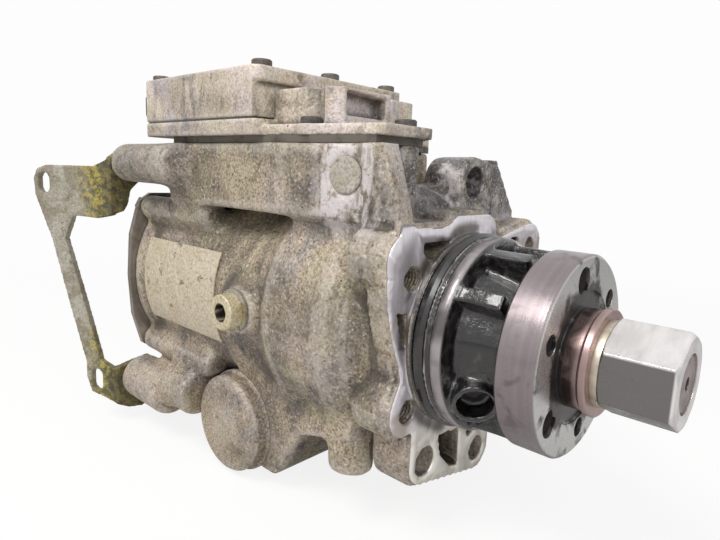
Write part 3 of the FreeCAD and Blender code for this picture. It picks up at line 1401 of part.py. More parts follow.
seal_width = 2 * S.timing_seal_section + 0.2
seal_centre = S.timing_spigot_length / 2 - 0.4
seal_root = S.timing_spigot_radius - 2 * S.timing_seal_section - S.sliding_fit
caps = []
seals = []
for side, way in ((-1, "-Y"), (1, "+Y")):
    cap = Piece("timing_cap", node=False)
    cap.turned([
        (-S.timing_spigot_length, 0), (-S.timing_spigot_length, S.timing_spigot_radius),
        (-seal_centre - seal_width / 2, S.timing_spigot_radius), (-seal_centre - seal_width / 2, seal_root),
        (seal_width / 2 - seal_centre, seal_root), (seal_width / 2 - seal_centre, S.timing_spigot_radius),
        (0, S.timing_spigot_radius), (0, S.timing_lip_radius), (S.timing_lip_width, S.timing_lip_radius),
        (S.timing_lip_width, S.timing_cap_radius), (S.timing_cap_crown, S.timing_cap_radius),
        (S.timing_cap_length - 1.6, S.timing_cap_radius - 1.4), (S.timing_cap_length - 0.5, S.timing_cap_radius - 4),
        (S.timing_cap_length, S.timing_cap_radius / 2), (S.timing_cap_length, 0)])
    caps.append(cap.at(-S.cam_at, side * half, -timing_height, TOWARDS[way]))
    cap_seal = hoop("cap_seal", S.timing_spigot_radius - S.timing_seal_section, S.timing_seal_section,
                    -seal_centre, node=False)
    seals.append(cap_seal.at(-S.cam_at, side * half, -timing_height, TOWARDS[way]))
group("timing_caps", caps)
group("timing_cap_seals", seals)

solenoid = Piece("timing_solenoid")
solenoid_end = S.timing_solenoid_length
solenoid.turned([
    (-S.valve_stub_length, 0), (-S.valve_stub_length, S.valve_stub_radius), (0, S.valve_stub_radius),
    (0, S.timing_solenoid_radius), (solenoid_end - 6, S.timing_solenoid_radius),
    (solenoid_end - 4, S.timing_solenoid_radius - 2), (solenoid_end, S.timing_solenoid_radius - 2),
    (solenoid_end, 0)])
solenoid.at(-valve_seat, S.timing_solenoid_side, -timing_height, TOWARDS["-X"])

overflow = Piece("overflow_valve")
overflow.pad(overflow.sketch("YZ").polygon(hexagon(S.outlet_hex)), S.outlet_hex_length)
overflow.turned([
    (-S.overflow_stub, 0), (-S.overflow_stub, S.outlet_nose_radius), (S.overflow_length, S.outlet_nose_radius),
    (S.overflow_length, 0)])
overflow.cut(overflow.sketch("YZ", S.overflow_length).circle(0, 0, S.overflow_bore_radius), S.overflow_bore_depth)
overflow.at(-S.overflow_at, overflow_seat, S.overflow_height, TOWARDS["+Y"])


# control unit on the deck: gasket, base with its tongue, seal, board and cover

unit_foot = S.deck_height + S.gasket_thickness
inset = 2.0
gasket = Piece("unit_gasket")
gasket_outline = gasket.sketch("XY", S.deck_height)
gasket_outline.polygon([
    (inset - S.deck_rear, inset - S.deck_side), (-S.deck_knee, inset - S.deck_side),
    (-S.deck_front, inset - 0.5 - S.deck_front_side), (-S.deck_front, -18), (16 - S.deck_knee, 12),
    (8 - S.deck_knee, S.deck_far_side - inset), (inset - S.deck_rear, S.deck_far_side - inset)])
gasket_outline.rounded(margin - S.deck_rear, margin - S.deck_side, -S.deck_knee - 8, S.deck_far_side - margin, 6.0)
for x, y in UNIT_SCREWS:
    gasket_outline.circle(x, y, S.screw_thread_radius + S.seat_gap)
gasket.pad(gasket_outline, S.gasket_thickness)

base = Casting("unit_base")
corner = S.unit_corner_radius
base_top = unit_foot + S.unit_base_height
base.pad(base.sketch("XY", unit_foot).rounded(-S.unit_rear, -S.unit_side, -S.unit_front, S.unit_far_side, corner),
         S.unit_base_height)
tongue = base.sketch("XY", unit_foot).polygon([
    (-S.unit_front - corner, 4 - S.unit_side), (16 - S.unit_front, 6 - S.unit_side),
    (-S.unit_tongue_front, 13 - S.unit_side), (-S.unit_tongue_front, -17), (-45, 10), (-56, S.unit_far_side - 3),
    (-S.unit_front - corner, S.unit_far_side)])
base.pad(tongue, S.unit_tongue_height)
lump_back = -S.unit_front - S.unit_recess + S.seat_gap
lump_front = lump_back + S.lump_length
lump_side = S.unit_side - S.lump_inset
near_lump = base.sketch("XY", unit_foot).polygon([
    (lump_back, -lump_side), (lump_front - S.lump_chamfer, -lump_side),
    (lump_front, S.lump_chamfer - lump_side), (lump_front, S.lump_width - lump_side - 3),
    (lump_front - 4, S.lump_width - lump_side), (lump_back, S.lump_width - lump_side)])
base.pad(near_lump, S.unit_base_height + S.lump_top)
pocket_floor = base_top + 2
lump_pocket = base.sketch("YZ", lump_front - S.lump_pocket_depth).polygon([
    (S.lump_chamfer + 2 - lump_side, pocket_floor), (S.lump_width - lump_side - 6, pocket_floor),
    (S.lump_width - lump_side - 6, base_top + S.lump_top - 2.5),
    (S.lump_chamfer + 2 - lump_side, base_top + S.lump_top - 1)])
base.cut(lump_pocket, S.lump_pocket_depth + 1, reverse=True)
far_lump_side = S.lump_width - lump_side + 2
far_lump = base.sketch("XY", unit_foot).polygon([
    (lump_back, far_lump_side), (lump_front - 10, far_lump_side), (lump_front - 6, far_lump_side + 3),
    (lump_front - 7, far_lump_side + S.far_lump_width - 5), (lump_front - 12, far_lump_side + S.far_lump_width),
    (lump_back, far_lump_side + S.far_lump_width)])
base.pad(far_lump, S.unit_base_height + S.far_lump_top)
screw_hole = S.screw_thread_radius + S.seat_gap
for x, y in UNIT_SCREWS:
    base.pad(base.sketch("XY", unit_foot).circle(x, y, S.screw_head_radius + 1.5), S.unit_tongue_height)
for x, y in UNIT_SCREWS:
    head_way = base.sketch("XY", unit_foot + S.unit_tongue_height).circle(x, y, S.screw_head_radius + 0.8)
    base.cut(head_way, S.unit_base_height + S.lump_top, reverse=True)
    base.cut(base.sketch("XY", unit_foot + S.unit_tongue_height).circle(x, y, screw_hole), S.unit_tongue_height)
lid_screws = [(x, y) for x in (-S.unit_front - 6, 6 - S.unit_rear) for y in (-S.unit_side + 8, -10, S.unit_far_side - 8)]
for x, y in lid_screws:
    base.cut(base.sketch("XY", base_top).circle(x, y, S.lid_screw_radius + S.sliding_fit), S.unit_base_height - 2)
base.finish()

unit_seal = Piece("unit_seal")
seal_outline = unit_seal.sketch("XY", base_top)
edge = 0.6
seal_front = S.unit_front + S.unit_recess + edge
end_wall = 11.0
hollow_box = (end_wall - S.unit_rear, S.unit_wall - S.unit_side, -S.unit_front - end_wall - S.unit_recess,
              S.unit_far_side - S.unit_wall, 4.0)
seal_outline.rounded(edge - S.unit_rear, edge - S.unit_side, -seal_front, S.unit_far_side - edge, corner)
seal_outline.rounded(*hollow_box)
for x, y in lid_screws:
    seal_outline.circle(x, y, S.lid_screw_radius + S.seat_gap)
unit_seal.pad(seal_outline, S.unit_seal_thickness)

cover = Casting("unit_cover")
cover_foot = base_top + S.unit_seal_thickness
cover_top = cover_foot + S.unit_cover_height
cover.pad(cover.sketch("XY", cover_foot).rounded(-S.unit_rear, -S.unit_side, -S.unit_front, S.unit_far_side, corner),
          S.unit_cover_height)
hollow = cover.sketch("XY", cover_foot - 1).rounded(*hollow_box)
cover.cut(hollow, S.unit_cover_height - S.unit_wall + 1, reverse=True)
recess = cover.sketch("XY", cover_foot - 1)
recess.polygon([(-S.unit_front - S.unit_recess, -S.unit_side - 1), (1 - S.unit_front, -S.unit_side - 1),
                (1 - S.unit_front, S.unit_far_side + 1), (-S.unit_front - S.unit_recess, S.unit_far_side + 1)])
cover.cut(recess, S.unit_cover_height - S.unit_rim_height + 1, reverse=True)
for x, y in lid_screws:
    cover.cut(cover.sketch("XY", cover_top).circle(x, y, S.lid_screw_radius + S.sliding_fit), S.unit_cover_height + 1)
cover.finish()

group("unit_cover_screws", [
    socket_screw("cover_screw", S.lid_screw_radius, S.unit_cover_height + 4, S.screw_head_radius,
                 S.screw_head_height, S.screw_key).at(x, y, cover_top, TOWARDS["+Z"]) for x, y in lid_screws])
group("unit_base_screws", [
    socket_screw("base_screw", S.screw_thread_radius, S.screw_length, S.screw_head_radius,
                 S.screw_head_height, S.screw_key).at(x, y, unit_foot + S.unit_tongue_height, TOWARDS["+Z"])
    for x, y in UNIT_SCREWS])

board = Piece("circuit_board")
board.pad(board.sketch("XY", base_top).rounded(
    end_wall + 1 - S.unit_rear, S.unit_wall + 1 - S.unit_side, -S.unit_front - end_wall - S.unit_recess - 1,
    S.unit_far_side - S.unit_wall - 1, 3.0), S.board_thickness)

connector = Piece("connector_shell")
plug_end = S.unit_rear + S.connector_length
plug_low = cover_foot + S.unit_wall
plug_high = plug_low + S.connector_height
plug_far = S.connector_width - S.connector_side
wall = S.connector_wall
connector.pad(connector.sketch("YZ", -plug_end).rounded(-S.connector_side, plug_low, plug_far, plug_high, 3.0),
              S.connector_length)
connector.cut(connector.sketch("YZ", -plug_end).rounded(wall - S.connector_side, plug_low + wall, plug_far - wall,
                                                        plug_high - wall, 1.5), S.connector_depth, reverse=True)
pins = []
pitch = (S.connector_width - 2 * wall) / CONTACTS
for number in range(CONTACTS):
    contact = Piece("contact", node=False)
    side = S.connector_pin_side / 2
    middle = wall - S.connector_side + pitch * (number + 0.5)
    level = (plug_low + plug_high) / 2
    contact.pad(contact.sketch("YZ", 2 - plug_end).polygon([
        (middle - side, level - side), (middle + side, level - side), (middle + side, level + side),
        (middle - side, level + side)]), S.connector_depth - 2)
    pins.append(contact)
group("connector_pins", pins)


# rear support bracket: two tabs behind the stubs, a bend, and one slanting leg with two slots

bracket = Casting("rear_bracket")
thick = S.bracket_thickness
tab_rear = stub_end + thick
bend = S.bracket_bend_side
lap = math.tan(math.radians(S.bracket_leg_angle / 2)) * thick / 2
top = upper_stub_height
low = -S.lower_stub_height
upper = -S.upper_stub_side
lower = -S.lower_stub_side
tab_edge = -bend - lap
upper_tab = bracket.sketch("YZ", -tab_rear).polygon([
    (tab_edge, top - 31), (tab_edge, top + 2.5), (upper - 8, top + 4.5), (upper - 1.4, top + 9),
    (upper + 4, top + 11), (upper + 9.5, top + 8.5), (upper + 11.4, top), (upper + 9.5, top - 8.5),
    (upper + 7, top - 10.6), (upper + 1.4, top - 16), (upper - 0.5, top - 24.5), (upper - 3, top - 28.5)])
bracket.pad(upper_tab, thick)
lower_tab = bracket.sketch("YZ", -tab_rear).polygon([
    (tab_edge, low + 7.5), (tab_edge, low - 16), (lower - 8.6, low - 19.8), (lower, low - 21),
    (lower + 9, low - 15), (lower + 12.5, low - 4), (lower + 11.5, low + 6), (lower + 5.7, low + 11.8),
    (lower - 5, low + 10)])
bracket.pad(lower_tab, thick)
leg = bracket.oblique(-stub_end - thick / 2, -bend, S.bracket_leg_angle, -thick / 2)
leg.polygon([
    (-lap, top + 2.5), (10.1, top - 2.8), (42.5, top - 3.2), (48.7, top - 5.4), (51.5, top - 11.5),
    (50.5, top - 22), (40.6, 19.2), (30.8, -18.7), (20.3, low + 9.6), (20.5, low), (17, low - 10),
    (11, low - 11.4), (-lap, low - 16), (-lap, low + 7.5), (3.7, low + 7.7), (10, low + 10.9), (20.2, -17.8),
    (31.3, 19.9), (25.3, top - 32.3), (8.1, top - 33.1), (-lap, top - 31)])
bracket.pad(leg, thick)
slot = S.bracket_slot_width / 2
for along, height, reach in ((44.4, top - 13.7, 2.4), (13, low - 1.5, 3.1)):
    slot_outline = bracket.oblique(-stub_end - thick / 2, -bend, S.bracket_leg_angle, -thick)
    slot_outline.lobe(along, height - reach, slot, along, height + reach, slot)
    bracket.cut(slot_outline, thick * 2, reverse=True)
for side, height in ((upper, top), (lower, low)):
    tab_hole = bracket.sketch("YZ", 1 - stub_end).circle(side, height, S.bracket_bolt_radius + 0.3)
    bracket.cut(tab_hole, thick + 2)
bracket.finish()

group("bracket_bolts", [
    hex_bolt("bracket_bolt", S.bracket_bolt_radius, S.bracket_bolt_length, S.bracket_bolt_hex,
             S.bracket_bolt_head).at(-tab_rear, side, height, TOWARDS["-X"])
    for side, height in ((upper, top), (lower, low))])

doc.recompute()

for thing in doc.Objects:
    broken = [word for word in thing.State if word in ("Invalid", "Error")]
    if broken:
        raise RuntimeError("%s is %s" % (thing.Label, broken))
for node in NODES:
    if node.Shape.isNull() or not node.Shape.isValid() or not node.Shape.Solids:
        raise RuntimeError("%s has no valid solid" % node.Label)

os.makedirs("parts", exist_ok=True)
for node in NODES:
    node.Shape.exportStep("parts/%s.step" % node.Label)
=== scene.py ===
"""The looks of a diesel injection pump: castings, turned steel, seals, studio and camera."""

import json
import logging
import math
from dataclasses import dataclass, field
from enum import Enum
from typing import Callable, Optional, Sequence, Union

import bmesh
import bpy
import numpy as np
from mathutils import Matrix, Vector

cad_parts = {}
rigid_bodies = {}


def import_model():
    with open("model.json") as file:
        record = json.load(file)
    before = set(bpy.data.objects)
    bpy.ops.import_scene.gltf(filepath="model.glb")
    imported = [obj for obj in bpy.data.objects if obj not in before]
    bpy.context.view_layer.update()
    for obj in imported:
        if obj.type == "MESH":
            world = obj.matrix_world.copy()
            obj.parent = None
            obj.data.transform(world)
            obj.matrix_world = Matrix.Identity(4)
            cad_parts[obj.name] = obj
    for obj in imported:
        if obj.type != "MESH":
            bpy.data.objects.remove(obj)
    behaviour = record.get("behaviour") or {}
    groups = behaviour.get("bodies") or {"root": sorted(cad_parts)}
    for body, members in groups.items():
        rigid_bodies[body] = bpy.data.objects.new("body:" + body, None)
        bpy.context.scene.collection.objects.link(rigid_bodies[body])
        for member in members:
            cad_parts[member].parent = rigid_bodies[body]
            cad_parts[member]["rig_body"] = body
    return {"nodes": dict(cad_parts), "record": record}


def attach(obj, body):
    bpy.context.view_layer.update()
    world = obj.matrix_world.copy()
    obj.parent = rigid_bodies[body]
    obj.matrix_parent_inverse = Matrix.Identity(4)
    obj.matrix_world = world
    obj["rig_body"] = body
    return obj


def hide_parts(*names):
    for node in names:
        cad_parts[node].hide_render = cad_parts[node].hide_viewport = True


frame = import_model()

log = logging.getLogger("pump")
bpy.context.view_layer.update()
HOLLOW = "hollow"
RAYS = ("Is Camera Ray", "Is Glossy Ray")
MM_PER_M = 1000.0
WELD = 2e-6
EASE, EASE_BACK = 0.5, -0.52
Mesh, Piece, Material, Socket = bpy.types.Mesh, bpy.types.Object, bpy.types.Material, bpy.types.NodeSocket
Colour = tuple[float, float, float]
Shades = tuple[Colour, Colour]
Span = tuple[float, float]
Outline = tuple[Span, ...]
Number = Union[float, "Value"]
# The y and z corners, in millimetres, of the webs between the flange's ears and of the pockets in its face.
WEBS: tuple[Outline, ...] = (
    ((-47.0, 36.0), (-47.0, 45.3), (-35.5, 46.2), (-21.8, 45.8), (-7.4, 48.8), (-7.4, 40.0)),
    ((-55.5, 27.0), (-54.3, 16.5), (-52.0, 7.5), (-48.6, -2.0), (-43.2, -12.5), (-40.0, -13.0), (-42.5, 6.0),
     (-42.5, 18.0), (-49.0, 21.0), (-50.0, 27.0)),
)
POCKETS: tuple[Outline, ...] = (
    ((-34.0, 40.2), (-14.6, 40.0), (-17.6, 35.6), (-24.0, 31.5), (-30.6, 32.9), (-33.8, 36.6)),
    ((-49.0, 14.0), (-42.0, 13.0), (-42.5, -2.0), (-45.5, 3.0)),
)
# Where a finish changes, in metres: each span is where a soft step starts and where it ends.
FLANGE_FACE: tuple[Span, Span] = ((-0.0009, -0.0005), (0.0006, 0.0003))
PILOT_LAND: tuple[Span, Span] = ((0.0108, 0.0112), (0.0158, 0.0154))
PILOT_EDGE: tuple[Span, Span] = ((0.0075, 0.0077), (0.0088, 0.0086))
LAND_RADIUS, EDGE_RADIUS, PILOT_FOOT = (0.0398, 0.0408), (0.0404, 0.0412), (0.0500, 0.0455)
NECK_START, RING_START, FACE_FRONT = (0.0008, 0.0020), (0.003, 0.006), (0.002, 0.0)
CREAM_BELOW = (-0.030, -0.048)
CROWN_X, CROWN_Y, CROWN_Z = (-0.042, -0.030), (-0.038, -0.028), (0.046, 0.054)
DECK_X, DECK_Z, DECK_END = (-0.047, -0.038), (0.034, 0.050), (-0.004, -0.02)
HUB_FACE_X, HUB_FACE_RADIUS = (0.0508, 0.0513), (0.0396, 0.0388)
HUB_RIM_SHADE, HUB_OIL = (0.012, -0.032), (0.033, 0.022)
COLLAR_X, COLLAR_RADIUS, COLLAR_OIL = (0.0528, 0.0536), (0.0222, 0.0214), (0.0585, 0.0560)
NUT_FLAT, NUT_END = (0.0157, 0.0150), (0.0888, 0.0880)
WAX_X, TAB_END = (-0.222, -0.208), (-0.2060, -0.2035)
# Colours on the castings: rubbed skin, dried oil, baked dirt, painted glints on the grains, worn edges, rust,
# pits, a painted sheen on the deck's front, and stains, then pairs for soot, the flange's face and foot, the
# pilot's rings and the wet neck.
RUBBED, FILM, CRUST = (0.40, 0.345, 0.27), (0.080, 0.076, 0.080), (0.115, 0.086, 0.060)
GLINT, EDGE, RUST = (0.72, 0.67, 0.61), (0.62, 0.57, 0.52), (0.17, 0.050, 0.030)
PIT, SHEEN_COLOUR = (0.030, 0.024, 0.019), (0.66, 0.62, 0.63)
STAINED, SOAKED = (0.26, 0.18, 0.11), (0.050, 0.038, 0.032)
SOOT: Shades = ((0.030, 0.026, 0.026), (0.50, 0.46, 0.46))
LILAC: Shades = ((0.70, 0.665, 0.70), (0.50, 0.465, 0.495))
CREAM: Shades = ((0.80, 0.78, 0.72), (0.52, 0.45, 0.34))
RING: Shades = ((0.34, 0.31, 0.32), (0.06, 0.052, 0.050))
BLACK: Shades = ((0.006, 0.005, 0.005), (0.050, 0.041, 0.042))
# How the castings are softened: webs, pockets, where filling starts behind the flange, and what a hollow is.
WEB_DEPTH, POCKET_DEPTH, POCKET_EDGE, FRONT = 0.011, 0.009, 0.0011, 0.0005
FILL_FROM, FILL_OVER, FILL_SHARE, FILL_RENEWED = -0.018, 0.012, 0.9, 5
HOLLOW_ROUNDS, HOLLOW_DEPTH = 14, 0.0009
# The housing's crisp places, in metres.
FACE_CLEAR, DECK_TOP, DECK_OVER, BORE_RADIUS, BORE_END = 0.0012, 0.0795, 0.001, 0.0385, -0.19
HOLE_CLEAR, CRISP_OVER, FLANGE_BACK = 0.001, 0.0015, -0.022


class Value:
    """A number that the shader works out at each point of the surface, with Python's operators."""

    def __init__(self, paint: "Paint", socket: Socket) -> None:
        """Keeps the paint that the number belongs to and the socket that gives it."""
        self.paint = paint
        self.socket = socket

    def maths(self, operation: str, *others: Number, first: Optional[Number] = None) -> "Value":
        """Adds one Math node.

        Args:
            operation: the node's operation.
            others: the numbers after this one.
            first: the number before this one, where the operation is turned round.

        Returns:
            The node's result.
        """
        given = ([] if first is None else [first]) + [self, *others]
        inputs = {place: number for place, number in enumerate(given)}
        return self.paint.number("ShaderNodeMath", {"operation": operation}, inputs)

    def __add__(self, other: Number) -> "Value":
        """This plus other."""
        return self.maths("ADD", other)

    __radd__ = __add__

    def __sub__(self, other: Number) -> "Value":
        """This minus other."""
        return self.maths("SUBTRACT", other)

    def __rsub__(self, other: Number) -> "Value":
        """Other minus this."""
        return self.maths("SUBTRACT", first=other)

    def __mul__(self, other: Number) -> "Value":
        """This times other."""
        return self.maths("MULTIPLY", other)

    __rmul__ = __mul__

    def greater(self, other: Number) -> "Value":
        """The larger of the two."""
        return self.maths("MAXIMUM", other)

    def sine(self) -> "Value":
        """The sine of this angle."""
        return self.maths("SINE")

    def over(self, low: float, high: float) -> "Value":
        """A smooth step from 0 at low to 1 at high, or the other way round where low is larger."""
        inputs = {"Value": self, "From Min": low, "From Max": high}
        return self.paint.number("ShaderNodeMapRange", {"interpolation_type": "SMOOTHSTEP"}, inputs)

    def between(self, rise: Span, fall: Span) -> "Value":
        """1 between two smooth steps and 0 outside them."""
        return self.over(*rise) * self.over(*fall)

    def hypot(self, other: "Value") -> "Value":
        """The distance whose two sides are this and the other."""
        return (self * self + other * other).maths("SQRT")


@dataclass
class Paint:
    """The node tree of one material.

    Args:
        name: the material's name.
    """

    name: str

    def __post_init__(self) -> None:
        """Starts an empty tree, with the surface's own coordinates at hand."""
        self.material = bpy.data.materials.new(self.name)
        self.material.use_nodes = True
        self.tree = self.material.node_tree
        self.tree.nodes.clear()
        self.place = self.node("ShaderNodeTexCoord").outputs["Object"]
        parts = self.node("ShaderNodeSeparateXYZ", {}, {0: self.place})
        self.x, self.y, self.z = (Value(self, socket) for socket in parts.outputs)
        self.radius = self.y.hypot(self.z)

    def node(self, kind: str, settings: Optional[dict] = None,
             inputs: Optional[dict] = None) -> bpy.types.Node:
        """Adds any node.

        Args:
            kind: the node's type.
            settings: its own settings, and the stops of a ramp under "stops".
            inputs: a number, colour, Value or socket for each socket named or counted.

        Returns:
            The node.
        """
        made = self.tree.nodes.new(kind)
        for name, setting in (settings or {}).items():
            if name == "stops":
                while len(made.color_ramp.elements) < len(setting):
                    made.color_ramp.elements.new(0.5)
                for element, (at, colour) in zip(made.color_ramp.elements, setting):
                    element.position = at
                    element.color = (*colour, 1.0)
            else:
                setattr(made, name, setting)
        for name, given in (inputs or {}).items():
            socket = made.inputs[name]
            if isinstance(given, Value):
                self.tree.links.new(given.socket, socket)
            elif isinstance(given, Socket):
                self.tree.links.new(given, socket)
            elif socket.type == "RGBA":
                socket.default_value = (*given, 1.0)
            else:
                socket.default_value = given
        return made

    def number(self, kind: str, settings: dict, inputs: dict, out: Union[int, str] = 0) -> Value:
        """Adds any node, and wraps the output that gives a number."""
        return Value(self, self.node(kind, settings, inputs).outputs[out])

    def at(self, x: Number, y: Number, z: Number) -> Socket:
        """A point made from three numbers."""
        return self.node("ShaderNodeCombineXYZ", {}, {0: x, 1: y, 2: z}).outputs[0]

    def cloud(self, size: float, detail: float = 4.0, rough: float = 0.55, warp: float = 0.0,
              place: Optional[Socket] = None) -> Value:
        """Soft noise round 0.5.

        Args:
            size: how far apart its blotches are, in metres.
            detail: how many finer layers it has.
            rough: how strong the finer layers are.
            warp: how far it is pulled out of shape.
            place: where it is read, or the surface's own coordinates.

        Returns:
            The noise.
        """
        inputs = {"Vector": place or self.place, "Scale": 1.0 / size, "Detail": detail,
                  "Roughness": rough, "Distortion": warp}
        return self.number("ShaderNodeTexNoise", {}, inputs)

    def dots(self, size: float) -> Value:
        """The distance to the nearest of scattered points, 0 at each, in steps of their spacing."""
        return self.number("ShaderNodeTexVoronoi", {}, {"Vector": self.place, "Scale": 1.0 / size})

    def mix(self, share: Number, low: Union[Colour, Socket],
            high: Union[Colour, Socket], way: str = "MIX") -> Socket:
        """One colour over another.

        Args:
            share: how much of the second there is.
            low: the first colour.
            high: the second colour.
            way: how the second goes on, as the Mix node names it.

        Returns:
            The colour.
        """
        settings = {"data_type": "RGBA", "blend_type": way}
        return self.node("ShaderNodeMix", settings, {0: share, 6: low, 7: high}).outputs[2]

    def tone(self, number: Value, *stops: tuple[float, Colour]) -> Socket:
        """A colour for each value of a number, between the stops given."""
        return self.node("ShaderNodeValToRGB", {"stops": stops}, {0: number}).outputs[0]

    def relief(self, height: Number, depth: float, under: Socket) -> Socket:
        """The surface's direction with a height laid on it.

        Args:
            height: the height, from 0 to 1.
            depth: what a height of 1 stands for, in metres.
            under: the direction that it is laid on.

        Returns:
            The direction.
        """
        inputs = {"Height": height, "Distance": depth, "Normal": under}
        return self.node("ShaderNodeBump", {}, inputs).outputs[0]

    def soft_edges(self, radius: float) -> Socket:
        """The surface's direction with its edges rounded off, for the light alone."""
        return self.node("ShaderNodeBevel", {"samples": 4}, {"Radius": radius}).outputs[0]

    def cutter_marks(self, marks: Value, fine: Value) -> Socket:
        """The direction of a turned face, from the cutter's marks and fine wear."""
        return self.relief(marks * 0.35 + fine * 0.25, 0.00005, self.soft_edges(0.0005))

    def done(self, **sockets: Union[Number, Colour, Socket]) -> Material:
        """Ends the tree in the shader.

        Args:
            sockets: what each of the shader's sockets gets, with _ for a space.

        Returns:
            The material.
        """
        inputs = {name.replace("_", " "): given for name, given in sockets.items()}
        shader = self.node("ShaderNodeBsdfPrincipled", {}, inputs)
        self.node("ShaderNodeOutputMaterial", {}, {"Surface": shader.outputs[0]})
        return self.material


class Region(Enum):
    """Which part of the pump a cast finish is for."""

    HOUSING = "housing"
    UNIT = "unit"
    CAP = "cap"


